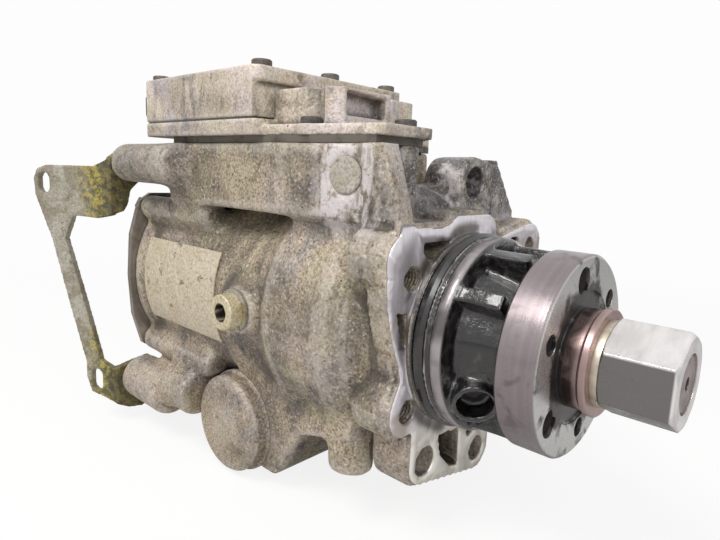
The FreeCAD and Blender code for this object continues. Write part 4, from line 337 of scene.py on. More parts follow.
@dataclass(frozen=True)
class CastFinish:
    """Sand cast aluminium after years in an engine: grey, grainy, oil stained, pitted and dusty.

    Args:
        region: the part of the pump, which says where the oil and the machined faces are.
        pale: the clean skin.
        dull: the skin where it has weathered.
        dirt: the dark colour laid into its corners.
        grain: how far apart the skin's grains are, in metres.
        sand: how strongly the grains show.
        painted_sheen: how strongly a painted sheen lightens the deck's front.
    """

    region: Region
    pale: Colour = (0.47, 0.405, 0.325)
    dull: Colour = (0.180, 0.158, 0.127)
    dirt: Colour = (0.050, 0.040, 0.032)
    grain: float = 0.0013
    sand: float = 0.95
    painted_sheen: float = 0.75

    def machined(self, p: Paint) -> Value:
        """1 on the faces that a cutter has been over, and 0 on the cast skin."""
        if self.region is not Region.HOUSING:
            return p.x * 0.0
        face = p.x.between(*FLANGE_FACE)
        land = p.x.between(*PILOT_LAND) * p.radius.over(*LAND_RADIUS)
        thin = p.x.between(*PILOT_EDGE) * p.radius.over(*EDGE_RADIUS)
        return face.greater(land).greater(thin)

    def wetness(self, p: Paint) -> Value:
        """1 where the skin is black with oil, round the neck, and 0 elsewhere."""
        if self.region is not Region.HOUSING:
            return p.x * 0.0
        return p.x.over(*NECK_START)

    def sooty(self, p: Paint, blotches: Value) -> Value:
        """How oily the skin is behind the flange's crown and on the unit's front, from 0 to 1."""
        if self.region is Region.CAP:
            return p.x * 0.0
        front = p.x.over(*CROWN_X) * p.z.over(*CROWN_Z) * p.y.over(*CROWN_Y)
        return front * blotches.over(0.36, 0.56)

    def skin(self, p: Paint, hollow: Value) -> tuple[Socket, Value, Value, Value]:
        """The cast skin.

        Args:
            p: the material's tree.
            hollow: 1 in corners, 0 on walls and -1 on edges.

        Returns:
            The colour, the height, how oily it is and how metallic it is.
        """
        large = p.cloud(0.048, 4.0, 0.6, 0.4)
        middle = p.cloud(0.013, 5.0, 0.62, 0.3)
        fine = p.cloud(0.0042, 4.0, 0.68)
        grain = p.cloud(self.grain, 3.0, 0.75)
        colour = p.mix(large.over(0.36, 0.62), self.dull, self.pale)
        colour = p.mix(middle.over(0.44, 0.64) * 0.55, colour, RUBBED)
        tint = p.tone(p.cloud(0.033, 3.0, 0.6, 0.9), (0.34, (0.96, 0.97, 0.85)), (0.46, (1.0, 0.97, 0.88)),
                      (0.55, (0.99, 0.94, 0.94)), (0.66, (0.84, 0.86, 0.97)))
        colour = p.mix(0.9, colour, tint, "MULTIPLY")
        streak = p.cloud(0.011, 5.0, 0.62, 0.5, p.at(p.x, p.y, p.z * 0.3))
        film = streak.over(0.50, 0.66) * large.over(0.60, 0.42)
        colour = p.mix(film * 0.72, colour, FILM)
        crust = p.cloud(0.019, 7.0, 0.7, 0.7).over(0.53, 0.65)
        colour = p.mix(crust * 0.6, colour, CRUST)
        shade = p.tone(grain, (0.36, (0.30, 0.29, 0.28)), (0.48, (0.78, 0.77, 0.75)), (0.57, (1.0, 1.0, 1.0)))
        colour = p.mix(self.sand, colour, shade, "MULTIPLY")
        # Painted glints: pale specks on the grain, standing in for its sparkle.
        glints = grain.over(0.58, 0.68) * fine.over(0.40, 0.55)
        colour = p.mix(glints * 0.7, colour, GLINT)
        edges = (hollow * -1.0).over(0.10, 0.55)
        colour = p.mix(edges * fine.over(0.36, 0.5) * 0.28, colour, EDGE)
        # Darker in the corners, by how hollow the surface is.
        deep = (hollow + (fine - 0.5) * 0.5).over(0.05, 0.55)
        colour = p.mix(deep * 0.78, colour, self.dirt)
        rust = p.dots(0.0060).over(0.14, 0.06) * p.cloud(0.02, 2.0).over(0.54, 0.60)
        colour = p.mix(rust * 0.7, colour, RUST)
        pits = p.dots(0.0031).over(0.17, 0.07) * p.cloud(0.012, 2.0).over(0.52, 0.62)
        colour = p.mix(pits * 0.85, colour, PIT)
        # A painted sheen: the deck's front is lightened towards pale grey in streaks, standing in for a
        # highlight.
        shine = p.x.over(*DECK_X) * p.z.over(*DECK_Z) * fine.over(0.34, 0.5) * p.x.over(*DECK_END)
        colour = p.mix(shine * streak.over(0.60, 0.46) * self.painted_sheen, colour, SHEEN_COLOUR)
        soot = self.sooty(p, middle)
        colour = p.mix(soot * 0.8, colour, p.mix(grain.over(0.55, 0.66), *SOOT))
        oily = film.greater(deep).greater(soot)
        height = grain * 0.55 + fine * 1.1 + middle * 0.9 - pits * 0.8
        return colour, height, oily, 0.34 - deep * 0.25 - crust * 0.2

    def build(self) -> Material:
        """Returns the material."""
        p = Paint(f"cast_{self.region.value}")
        hollow = p.number("ShaderNodeAttribute", {"attribute_name": HOLLOW}, {}, "Fac")
        skin, height, oily, metal = self.skin(p, hollow)
        rough = 0.62 - oily * 0.26
        wet, cut = self.wetness(p), self.machined(p)
        lines = p.cloud(0.0007, 2.0, 0.5, 0.0, p.at(p.x, p.y, p.z * 0.02))
        plates = p.cloud(0.020, 3.0, 0.5, 0.5)
        lilac = p.mix(lines.over(0.30, 0.70) * 0.45, *LILAC)
        cream = p.mix(p.cloud(0.008, 4.0).over(0.46, 0.6) * 0.5, *CREAM)
        face = p.mix(p.z.over(*CREAM_BELOW), lilac, cream)
        stain = plates.over(0.56, 0.68) * 0.6
        face = p.mix(stain, face, STAINED)
        near = p.radius.over(*PILOT_FOOT) * plates.over(0.40, 0.56) * p.x.over(*FACE_FRONT) * 0.85
        face = p.mix(near, face, SOAKED)
        black = p.mix(p.cloud(0.007, 5.0, 0.6, 0.7).over(0.50, 0.66) * 0.75, *BLACK)
        ring = p.mix(plates.over(0.40, 0.62) * 0.8, *RING)
        face = p.mix(p.x.over(*RING_START), face, ring)
        skin = p.mix(cut, p.mix(wet, skin, black), face)
        beads = p.cloud(0.0035, 4.0, 0.65)
        gloss = 0.07 + beads.over(0.4, 0.7) * 0.16
        wet = wet * (1.0 - cut)
        dry = (1.0 - cut) * (1.0 - wet)
        rough = rough * dry + (0.26 + lines * 0.14) * cut + gloss * wet
        metal = metal * dry + cut * (0.60 - stain * 0.4) + wet * 0.10
        height = height * dry + beads * wet * 1.5 + lines * cut * 0.04
        relief = p.relief(height, 0.00052, p.soft_edges(0.0006))
        return p.done(Base_Color=skin, Roughness=rough, Metallic=metal, Normal=relief, Coat_Weight=wet * 0.8,
                      Coat_Roughness=0.06)


@dataclass(frozen=True)
class TurnedFinish:
    """Steel turned about the shaft's axis, with the cutter's rings, a film of oil and heat tints.

    Args:
        name: the material's name.
        tone: the clean metal.
        shade: the metal under its oxide.
        rough: how rough it is.
        rings: how far apart the cutter's marks are, in metres.
        grime: how much of it is stained.
        stain: the stains.
        flat: the direction of a nut's painted highlight flat, its other flats painted shade, in degrees, or 0
            for none.
    """

    name: str
    tone: Colour
    shade: Colour
    rough: float = 0.28
    rings: float = 0.0006
    grime: float = 0.5
    stain: Colour = (0.05, 0.035, 0.03)
    flat: float = 0.0

    def build(self) -> Material:
        """Returns the material."""
        p = Paint(self.name)
        turned = p.at(p.x, p.radius, 0.0)
        marks = p.cloud(self.rings, 2.0, 0.6, 0.0, turned)
        bands = p.cloud(0.006, 2.0, 0.5, 0.0, turned)
        blotch = p.cloud(0.013, 6.0, 0.6, 0.6)
        fine = p.cloud(0.0016, 4.0, 0.65)
        colour = p.mix(bands.over(0.35, 0.65), self.shade, self.tone)
        colour = p.mix(blotch.over(0.42, 0.68) * self.grime, colour, self.stain)
        # Painted shade on every flat of a nut but one, which keeps its tone as a painted highlight.
        if self.flat:
            turn = np.radians(self.flat)
            height = p.y * float(np.cos(turn)) + p.z * float(np.sin(turn))
            sides = height.over(*NUT_FLAT) * p.x.over(*NUT_END)
            colour = p.mix(sides, colour, tuple(c * 0.26 for c in self.shade))
        specks = p.dots(0.0035).over(0.13, 0.05) * p.cloud(0.015).over(0.5, 0.6)
        colour = p.mix(specks * 0.7, colour, (0.02, 0.014, 0.012))
        rough = self.rough + blotch.over(0.4, 0.7) * 0.16 + fine * 0.10
        relief = p.cutter_marks(marks, fine)
        return p.done(Base_Color=colour, Roughness=rough, Metallic=0.86, Normal=relief)


@dataclass(frozen=True)
class HubFinish:
    """The hub: a purplish turned rim with painted shade below, a grey green oil smeared face and a heat
    tinted collar.

    Args:
        rim: the rim's metal.
        face: the face's metal.
        collar: the collar's heat tint.
        burnt: the oil burnt on the collar.
        oil: the oil smeared on the face.
    """

    rim: Colour = (0.30, 0.258, 0.266)
    face: Colour = (0.56, 0.56, 0.54)
    collar: Colour = (0.40, 0.285, 0.270)
    burnt: Colour = (0.07, 0.046, 0.043)
    oil: Colour = (0.030, 0.024, 0.022)

    def build(self) -> Material:
        """Returns the material."""
        p = Paint("hub_steel")
        turned = p.at(p.x, p.radius, 0.0)
        marks = p.cloud(0.0006, 2.0, 0.6, 0.0, turned)
        bands = p.cloud(0.005, 2.0, 0.5, 0.0, turned)
        blotch = p.cloud(0.012, 6.0, 0.62, 0.6)
        fine = p.cloud(0.0016, 4.0, 0.65)
        # Painted shade: the rim darkens towards its bottom.
        low = p.z.over(*HUB_RIM_SHADE)
        rim = p.mix(bands.over(0.35, 0.65) * 0.5, self.rim, tuple(c * 0.62 for c in self.rim))
        rim = p.mix(low * 0.5, rim, tuple(c * 0.55 for c in self.rim))
        on_collar = p.x.over(*COLLAR_X) * p.radius.over(*COLLAR_RADIUS)
        on_face = p.x.over(*HUB_FACE_X) * p.radius.over(*HUB_FACE_RADIUS) * (1.0 - on_collar)
        smear = (p.radius.over(*HUB_OIL) * 0.25 + blotch).over(0.50, 0.66)
        face = p.mix(smear * 0.9, self.face, self.oil)
        collar = p.mix(p.x.over(*COLLAR_OIL) * blotch.over(0.36, 0.62), self.collar, self.burnt)
        colour = p.mix(on_collar, p.mix(on_face, rim, face), collar)
        colour = p.mix(blotch.over(0.56, 0.70) * 0.4, colour, self.oil)
        rough = 0.22 + blotch.over(0.4, 0.7) * 0.14 + fine * 0.10
        relief = p.cutter_marks(marks, fine)
        return p.done(Base_Color=colour, Roughness=rough, Metallic=0.88, Normal=relief)


@dataclass(frozen=True)
class PlatedFinish:
    """Zinc plated steel that has gone dull, with dirt in yellow green and rust at the worn spots.

    Args:
        name: the material's name.
        plate: the plating.
        dirt: the dirt on it.
        rust: the worn spots.
        share: how much dirt there is.
        metal: how metallic the plating looks.
        bends: whether old wax has yellowed its tabs.
        socket: the x, z and radius of a socket whose inside is painted near black, with a radius of 0 for
            none.
        moss: the two shades of the old wax.
    """

    name: str
    plate: Colour
    dirt: Colour
    rust: Colour = (0.16, 0.07, 0.03)
    share: float = 0.6
    metal: float = 0.6
    bends: bool = False
    socket: tuple[float, float, float] = (0.0, 0.0, 0.0)
    moss: Shades = ((0.085, 0.078, 0.030), (0.40, 0.32, 0.055))

    def build(self) -> Material:
        """Returns the material."""
        p = Paint(self.name)
        large = p.cloud(0.022, 6.0, 0.62, 0.7)
        fine = p.cloud(0.0024, 5.0, 0.65)
        worn = p.cloud(0.010, 6.0, 0.7, 0.4)
        colour = p.mix(fine.over(0.35, 0.7) * 0.4, self.plate, tuple(c * 0.6 for c in self.plate))
        colour = p.mix(large.over(0.44, 0.60) * self.share, colour, self.dirt)
        colour = p.mix(worn.over(0.60, 0.68) * 0.85, colour, self.rust)
        soot = p.cloud(0.007, 5.0, 0.65, 0.5).over(0.60, 0.72)
        colour = p.mix(soot * 0.7, colour, (0.035, 0.028, 0.022))
        across, up, radius = self.socket
        if radius:
            # Near black inside the socket.
            inside = (p.x - across).hypot(p.z - up).over(radius * 1.12, radius * 0.92)
            colour = p.mix(inside, colour, (0.018, 0.014, 0.011))
        if self.bends:
            moss = p.mix(p.cloud(0.004, 5.0, 0.7).over(0.42, 0.60), *self.moss)
            wax = (p.x + (large - 0.5) * 0.020).over(*WAX_X)
            colour = p.mix(wax * 0.9, colour, moss)
            # Darker on the tabs, next to the housing.
            dark = (p.x + (fine - 0.5) * 0.004).over(*TAB_END)
            colour = p.mix(dark * 0.6, colour, (0.050, 0.046, 0.034))
        grit = p.tone(p.cloud(0.0013, 3.0, 0.75), (0.38, (0.55, 0.53, 0.50)), (0.54, (1.0, 1.0, 1.0)))
        colour = p.mix(0.8, colour, grit, "MULTIPLY")
        rough = 0.40 + fine * 0.25 + large.over(0.44, 0.60) * 0.14
        metal = self.metal - large.over(0.44, 0.60) * self.share * 0.45 - soot * 0.2
        relief = p.relief(fine * 0.6 + worn * 0.5, 0.00022, p.soft_edges(0.0007))
        return p.done(Base_Color=colour, Roughness=rough, Metallic=metal, Normal=relief)


@dataclass(frozen=True)
class SmoothFinish:
    """Rubber, moulded plastic, lacquer, wound wire and ground steel: one even stuff with fine unevenness.

    Args:
        name: the material's name.
        tone: its colour.
        dust: what lies on it.
        rough: how rough it is.
        metal: how metallic it is.
        share: how much dust there is.
        coat: how much clear film lies over it.
        winding: the spacing of wound wire, or 0 for none.
    """

    name: str
    tone: Colour
    dust: Colour
    rough: float
    metal: float = 0.0
    share: float = 0.35
    coat: float = 0.0
    winding: float = 0.0

    def build(self) -> Material:
        """Returns the material."""
        p = Paint(self.name)
        patch = p.cloud(0.009, 5.0, 0.6, 0.4)
        fine = p.cloud(0.0012, 3.0, 0.6)
        colour = p.mix(patch.over(0.45, 0.7) * self.share, self.tone, self.dust)
        rough = self.rough + fine * 0.12 + patch.over(0.45, 0.7) * 0.1
        height = fine * 0.4
        if self.winding:
            height = height + (p.x * (2.0 * math.pi / self.winding)).sine() * 0.5
        relief = p.relief(height, 0.00010, p.soft_edges(0.0004))
        return p.done(Base_Color=colour, Roughness=rough, Metallic=self.metal, Normal=relief,
                      Coat_Weight=self.coat, Coat_Roughness=0.1)


Finish = Union[CastFinish, TurnedFinish, HubFinish, PlatedFinish, SmoothFinish]
PLAIN: tuple[Finish, ...] = (
    TurnedFinish("machined_aluminium", (0.72, 0.70, 0.71), (0.60, 0.58, 0.58), 0.3),
    TurnedFinish("turned_steel", (0.36, 0.33, 0.30), (0.26, 0.235, 0.21), 0.36, grime=0.5,
                 stain=(0.12, 0.09, 0.06)),
    SmoothFinish("hardened_steel", (0.52, 0.52, 0.53), (0.30, 0.27, 0.23), 0.22, 0.9),
    TurnedFinish("dark_steel", (0.135, 0.120, 0.116), (0.070, 0.061, 0.058), 0.13, grime=0.35),
    PlatedFinish("plated_steel", (0.46, 0.43, 0.36), (0.26, 0.20, 0.095), share=0.75),
    TurnedFinish("bronze", (0.62, 0.44, 0.24), (0.50, 0.34, 0.18), 0.3),
    SmoothFinish("seal_rubber", (0.014, 0.013, 0.013), (0.05, 0.045, 0.04), 0.22, coat=0.4),
    SmoothFinish("black_plastic", (0.022, 0.022, 0.024), (0.12, 0.105, 0.09), 0.42),
    SmoothFinish("board_green", (0.03, 0.16, 0.07), (0.05, 0.12, 0.06), 0.3, coat=0.5),
    SmoothFinish("copper_coil", (0.62, 0.28, 0.14), (0.30, 0.14, 0.08), 0.3, 0.85, winding=0.0006),
    PlatedFinish("plate_beige", (0.60, 0.53, 0.41), (0.42, 0.35, 0.25), share=0.6, metal=0.2),
)
FINISHES: dict[str, Finish] = {"cast_aluminium": CastFinish(Region.CAP)}
FINISHES |= {finish.name: finish for finish in PLAIN}


def read_mesh(mesh: Mesh) -> tuple[np.ndarray, np.ndarray]:
    """The points of a mesh, a row each, and its edges, as pairs of point numbers."""
    points = np.empty(len(mesh.vertices) * 3)
    mesh.vertices.foreach_get("co", points)
    edges = np.empty(len(mesh.edges) * 2, np.int64)
    mesh.edges.foreach_get("vertices", edges)
    return points.reshape(-1, 3), edges.reshape(-1, 2)


def eased(points: np.ndarray, edges: np.ndarray, weight: np.ndarray, rounds: int) -> np.ndarray:
    """Rounds edges and fills corners and leaves flat walls where they are.

    Each round moves a point half of the way to the mean of its neighbours, times its weight, and then
    0.52 of the way back from the new mean, so that the whole keeps its size.

    Args:
        points: the points, a row each.
        edges: pairs of point numbers.
        weight: how far each point may go, from 0 to 1.
        rounds: how often it is done.

    Returns:
        The new points.
    """
    moved = points.copy()
    for share in [EASE, EASE_BACK] * rounds:
        moved += share * weight[:, None] * (spread(moved, edges) - moved)
    return moved


def placed(name: str, data: bpy.types.ID) -> Piece:
    """A new object in the scene."""
    made = bpy.data.objects.new(name, data)
    bpy.context.scene.collection.objects.link(made)
    return made


def finished(name: str, mesh: Mesh, body: str, material: Material) -> Piece:
    """Makes a piece of a mesh that is in its place already.

    Args:
        name: the piece's name.
        mesh: its mesh, in the shared frame.
        body: the body that it rides on.
        material: its material.

    Returns:
        The piece.
    """
    piece = placed(name, mesh)
    mesh.materials.clear()
    mesh.materials.append(material)
    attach(piece, body)
    return piece


def welded(node: str) -> Mesh:
    """A copy of a CAD node's mesh with its loose triangles joined."""
    mesh = bpy.data.meshes.new(f"{node}_welded")
    work = bmesh.new()
    work.from_mesh(frame["nodes"][node].data)
    bmesh.ops.remove_doubles(work, verts=work.verts, dist=WELD)
    work.to_mesh(mesh)
    work.free()
    return mesh


def joined(mesh: Mesh, outline: Outline, back: float, front: float) -> None:
    """Adds a prism to a mesh.

    Args:
        mesh: the mesh.
        outline: the y and z of the prism's corners, in millimetres.
        back: the x of its rear face, in metres.
        front: the x of its front face.
    """
    work = bmesh.new()
    work.from_mesh(mesh)
    rear, fore = ([work.verts.new((x, y / MM_PER_M, z / MM_PER_M)) for y, z in outline]
                  for x in (back, front))
    work.faces.new(rear)
    work.faces.new(fore[::-1])
    for n in range(len(outline)):
        work.faces.new((rear[n - 1], fore[n - 1], fore[n], rear[n]))
    bmesh.ops.recalc_face_normals(work, faces=work.faces)
    work.to_mesh(mesh)
    work.free()


def within(outline: Outline, y: np.ndarray, z: np.ndarray) -> np.ndarray:
    """How deep each point lies in a convex outline, in metres: the least distance to a side."""
    corners = np.array(outline) / MM_PER_M
    middle = corners.mean(axis=0)
    depth = np.full(len(y), np.inf)
    for first, last in zip(corners, np.roll(corners, -1, axis=0)):
        normal = np.array([last[1] - first[1], first[0] - last[0]])
        normal /= np.linalg.norm(normal) * np.sign(normal @ (middle - first))
        depth = np.minimum(depth, (y - first[0]) * normal[0] + (z - first[1]) * normal[1])
    return depth


def through(mesh: Mesh, kind: str, **settings: Union[float, int, str, bool]) -> Mesh:
    """A new mesh: the one given after one modifier.

    Args:
        mesh: the mesh.
        kind: the modifier's type.
        settings: its settings.

    Returns:
        The new mesh.
    """
    carrier = placed("carrier", mesh)
    modifier = carrier.modifiers.new("step", kind)
    for name, setting in settings.items():
        setattr(modifier, name, setting)
    graph = bpy.context.evaluated_depsgraph_get()
    made = bpy.data.meshes.new_from_object(carrier.evaluated_get(graph), depsgraph=graph)
    bpy.data.objects.remove(carrier)
    return made


def spread(points: np.ndarray, edges: np.ndarray) -> np.ndarray:
    """The mean of each point's neighbours, a row each."""
    total = len(points)
    count = np.maximum(np.bincount(edges.ravel(), minlength=total), 1)
    mean = np.empty_like(points)
    for axis in range(3):
        column = points[:, axis]
        mean[:, axis] = (np.bincount(edges[:, 0], column[edges[:, 1]], total)
                         + np.bincount(edges[:, 1], column[edges[:, 0]], total)) / count
    return mean


def outward(mesh: Mesh) -> np.ndarray:
    """The outward direction at each point of a mesh, a row each."""
    normals = np.empty(len(mesh.vertices) * 3, np.float32)
    mesh.vertex_normals.foreach_get("vector", normals)
    return normals.reshape(-1, 3).astype(float)


def put_points(mesh: Mesh, points: np.ndarray) -> None:
    """Moves the points of a mesh."""
    mesh.vertices.foreach_set("co", points.ravel())
    mesh.update()


@dataclass
class SoftCasting:
    """A casting with the rounded edges and filled corners that sand and molten metal leave.

    Args:
        node: the CAD node that it stands for.
        finish: its finish.
        slot: the record's material slot; not used.
        grid: the spacing of the skin's points, in metres.
        rounds: how often its edges are eased.
        faces: how many triangles it may have.
        fills: how often its corners are filled.
        softened: how often its sharp edges are worn down.
        crisp: gives the weight of each point, 0 where a cutter has left the metal sharp.
        webs: outlines of the webs that join the flange's ears.
        pockets: outlines of the cored pockets in the flange's face.
    """

    node: str
    finish: Finish
    slot: str
    grid: float
    rounds: int
    faces: int
    fills: int = 0
    softened: int = 0
    crisp: Callable[[np.ndarray], np.ndarray] = lambda points: np.ones(len(points))
    webs: tuple[Outline, ...] = ()
    pockets: tuple[Outline, ...] = ()

    def fill(self, mesh: Mesh, points: np.ndarray, edges: np.ndarray, weight: np.ndarray) -> np.ndarray:
        """Lays metal into the corners.

        Each round moves a point towards the mean of its neighbours, along its outward direction alone, and
        only where that leads outwards, so that edges keep their place.

        Args:
            mesh: the mesh, for its outward directions.
            points: its points.
            edges: its edges.
            weight: how far each point may go, from 0 to 1.

        Returns:
            The new points.
        """
        for step in range(self.fills):
            if step % FILL_RENEWED == 0:
                put_points(mesh, points)
                normals = outward(mesh)
            rise = np.einsum("ij,ij->i", spread(points, edges) - points, normals)
            points = points + (np.maximum(rise, 0.0) * weight * FILL_SHARE)[:, None] * normals
        return points

    def pressed(self, points: np.ndarray) -> np.ndarray:
        """The points with the cored pockets pressed into the flange's face."""
        x, y, z = points.T
        moved = points.copy()
        for outline in self.pockets:
            share = np.clip(within(outline, y, z) / POCKET_EDGE, 0.0, 1.0)
            share = share * (x > -POCKET_DEPTH) * (x < FRONT)
            moved[:, 0] -= share * (x + POCKET_DEPTH)
        return moved

    def mark_hollows(self, mesh: Mesh) -> None:
        """Notes how deep in a corner each point lies: the way out to the mean shape over a hollow's depth."""
        points, edges = read_mesh(mesh)
        mean = points
        for _ in range(HOLLOW_ROUNDS):
            mean = spread(mean, edges)
        depth = np.einsum("ij,ij->i", mean - points, outward(mesh)) / HOLLOW_DEPTH
        attribute = mesh.attributes.new(HOLLOW, "FLOAT", "POINT")
        attribute.data.foreach_set("value", np.clip(depth, -1.0, 1.0).astype(np.float32))

    def build(self) -> Piece:
        """Returns the piece, which takes the node's place."""
        spacing = self.grid * 1.0
        mesh = welded(self.node)
        for outline in self.webs:
            joined(mesh, outline, -WEB_DEPTH, 0.0)
        mesh = through(mesh, "REMESH", mode="VOXEL", voxel_size=spacing)
        points, edges = read_mesh(mesh)
        weight = self.crisp(points)
        behind = weight
        if self.pockets:
            behind = weight * np.clip((FILL_FROM - points[:, 0]) / FILL_OVER, 0.0, 1.0)
        points = self.fill(mesh, points, edges, behind)
        for _ in range(self.softened):
            points += EASE * behind[:, None] * (spread(points, edges) - points)
        points = eased(points, edges, weight, self.rounds)
        put_points(mesh, self.pressed(points))
        triangles = 2 * len(mesh.polygons)
        if triangles > self.faces:
            mesh = through(mesh, "DECIMATE", ratio=self.faces / triangles)
        mesh.shade_smooth()
        self.mark_hollows(mesh)
        body = frame["nodes"][self.node]["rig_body"]
        piece = finished(f"{self.node}_shape", mesh, body, self.finish.build())
        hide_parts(self.node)
        return piece


def housing_crisp(points: np.ndarray) -> np.ndarray:
    """The housing's weights: 0 on the flange's face, the neck, the deck, the bore and the flange's holes.

    A weight grows from 0 at the edge of each place to 1 within 1 or 1.5 mm, and the smallest one holds.
    """
    x, y, z = points.T
    reach = np.hypot(y, z)
    weight = np.clip((-x - FACE_CLEAR) / CRISP_OVER, 0.0, 1.0)
    weight = np.minimum(weight, np.clip((DECK_TOP - z) / DECK_OVER, 0.0, 1.0))
    weight = np.where((reach < BORE_RADIUS) & (x > BORE_END), 0.0, weight)
    for mount in frame["record"]["mounts"]:
        if mount["name"].startswith("flange_") and "r_mm" in mount["dims"]:
            _, across, up = mount["pos_m"]
            away = np.hypot(y - across, z - up) - mount["dims"]["r_mm"] / MM_PER_M
            hole = np.clip((away - HOLE_CLEAR) / CRISP_OVER, 0.0, 1.0)
            weight = np.where(x > FLANGE_BACK, np.minimum(weight, hole), weight)
    return weight


@dataclass
class Thread:
    """A screw thread, cut in a hole.

    Args:
        name: the piece's name.
        start: the point on the axis where the thread begins, in metres.
        along: the axis, as a unit vector.
        radius: the radius of the hole's wall.
        length: how far the thread goes.
        pitch: the rise of one turn.
        body: the body that it rides on.
        slot: the record's material slot; not used.
        depth: the height of a crest over the wall.
        hidden: how far the ring's back lies behind the wall.
        around: how many points go round.
        per_turn: how many points one turn has along the axis.
    """

    name: str
    start: tuple[float, float, float]
    along: tuple[float, float, float]
    radius: float
    length: float
    pitch: float
    body: str
    slot: str
    depth: float = 0.0006
    hidden: float = 0.00015
    around: int = 36
    per_turn: int = 6

    def build(self, material: Material) -> Piece:
        """A closed ring of faces round the axis.

        The first parameter is the angle t and the second goes along the axis, a, on the thread's side and
        back on the hidden side. On the thread's side the radius is the wall's less the depth times a
        triangle wave of a / pitch - t / 360 degrees, and the wave is faded out over the first and last
        half turn. The hidden side lies behind the wall.

        Args:
            material: the piece's material.

        Returns:
            The piece.
        """
        around, steps = self.around, max(8, int(self.length / self.pitch * self.per_turn))
        t = np.linspace(0.0, 2.0 * np.pi, around, endpoint=False)[:, None]
        a = np.linspace(0.0, self.length, steps + 1)[None, :]
        wave = 1.0 - 2.0 * np.abs((a / self.pitch - t / (2.0 * np.pi)) % 1.0 - 0.5)
        fade = np.clip(np.minimum(a, self.length - a) / (0.5 * self.pitch), 0.0, 1.0)
        crest = self.radius - self.depth * wave * fade
        hidden = np.full((around, 2), self.radius + self.hidden)
        radius = np.hstack([crest, hidden])
        ahead = np.hstack([np.repeat(a, around, 0), np.tile([[self.length, 0.0]], (around, 1))])
        axis = np.array(self.along, float)
        side = np.cross(axis, [0.0, 0.0, 1.0] if abs(axis[2]) < 0.9 else [0.0, 1.0, 0.0])
        side /= np.linalg.norm(side)
        other = np.cross(axis, side)
        grid = (np.array(self.start) + ahead[..., None] * axis
                + radius[..., None] * (np.cos(t)[..., None] * side + np.sin(t)[..., None] * other))
        mesh = ring_mesh(self.name, grid)
        return finished(self.name, mesh, self.body, material)


def ring_mesh(name: str, grid: np.ndarray) -> Mesh:
    """A mesh of four sided faces over a grid that closes on itself both ways, with its faces outwards.

    Args:
        name: the mesh's name.
        grid: the points, by rows, columns and x, y, z.

    Returns:
        The mesh.
    """
    rows, columns = grid.shape[:2]
    number = np.arange(rows * columns).reshape(rows, columns)
    ahead, aside = np.roll(number, -1, 0), np.roll(number, -1, 1)
    corners = np.stack([number, ahead, np.roll(ahead, -1, 1), aside], -1).reshape(-1, 4)
    points = grid.reshape(-1, 3)
    a, b, c, d = (points[corners[:, k]] for k in range(4))
    middle = points.mean(0)
    volume = np.einsum("ij,ij->", a - middle, np.cross(c - a, d - b))
    if volume < 0.0:
        corners = corners[:, ::-1]
    mesh = bpy.data.meshes.new(name)
    mesh.from_pydata(points.tolist(), [], corners.tolist())
    mesh.shade_smooth()
    return mesh


@dataclass
class Castings:
    """The parts whose corners are soft: the housing, the control unit and its base, the caps and the bracket.

    Args:
        housing_grid: the spacing of the housing's points.
        grid: the spacing of the smaller castings' points.
    """

    housing_grid: float = 0.0010
    grid: float = 0.0007

    def build(self) -> list[Piece]:
        """Returns the castings."""
        cast = "cast_aluminium"
        unit = CastFinish(Region.UNIT, (0.74, 0.67, 0.61), (0.42, 0.37, 0.33), sand=0.6, painted_sheen=0.0)
        cap = CastFinish(Region.CAP, painted_sheen=0.0)
        leg = PlatedFinish("bracket_zinc", (0.45, 0.43, 0.36), (0.20, 0.17, 0.12), share=0.8, metal=0.35,
                           bends=True)
        housing = SoftCasting("pump_housing", CastFinish(Region.HOUSING), cast, self.housing_grid, 4, 190000,
                              fills=60, softened=18, crisp=housing_crisp, webs=WEBS, pockets=POCKETS)
        small = (("unit_base", unit, cast, 3, 60000, 8), ("unit_cover", unit, cast, 3, 60000, 4),
                 ("timing_caps", cap, cast, 3, 40000, 4), ("rear_bracket", leg, "plated_steel", 4, 50000, 3))
        return [housing.build()] + [SoftCasting(node, finish, slot, self.grid, *counts).build()
                                    for node, finish, slot, *counts in small]


@dataclass
class TurnedNut:
    """The hub's nut as it stands in the photograph, tightened to another flat than in the CAD.

    Args:
        node: the CAD node that it stands for.
        turn: how far it is turned about the shaft, in degrees.
    """

    node: str = "hub_nut"
    turn: float = -28.0

    def build(self) -> Piece:
        """Returns the nut, which takes the node's place."""
        mesh = welded(self.node)
        mesh.transform(Matrix.Rotation(np.radians(self.turn), 4, "X"))
        record = frame["nodes"][self.node]
        # Its upper flat keeps the pale tone as a painted highlight; the other flats get painted shade.
        steel = TurnedFinish("nut_steel", (0.82, 0.80, 0.79), (0.66, 0.63, 0.62), 0.16, grime=0.2, flat=122.0)
        piece = finished(f"{self.node}_shape", mesh, record["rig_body"], steel.build())
        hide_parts(self.node)
        return piece


@dataclass
class Threads:
    """The threads in the flange's tapped holes and in the inlet.

    Args:
        pitch: the rise of one turn.
        inset: how far a thread stays from each end of its hole.
    """

    pitch: float = 0.0015
    inset: float = 0.0008

    def build(self, material: Material) -> list[Piece]:
        """Cuts a thread in each threaded hole among the record's mounts.

        Args:
            material: the finish in the housing.

        Returns:
            The threads.
        """
        made = []
        for mount in frame["record"]["mounts"]:
            if mount["kind"] != "threaded_hole":
                continue
            radius, length = (mount["dims"][key] / MM_PER_M for key in ("r_mm", "length_mm"))
            axis = np.array(mount["axis"], float)
            start = tuple(np.array(mount["pos_m"]) - axis * (length / 2.0 - self.inset))
            thread = Thread(f"{mount['name']}_thread", start, tuple(axis), radius, length - 2.0 * self.inset,
                            self.pitch, "pump_body", "cast_aluminium")
            made.append(thread.build(material))
        return made


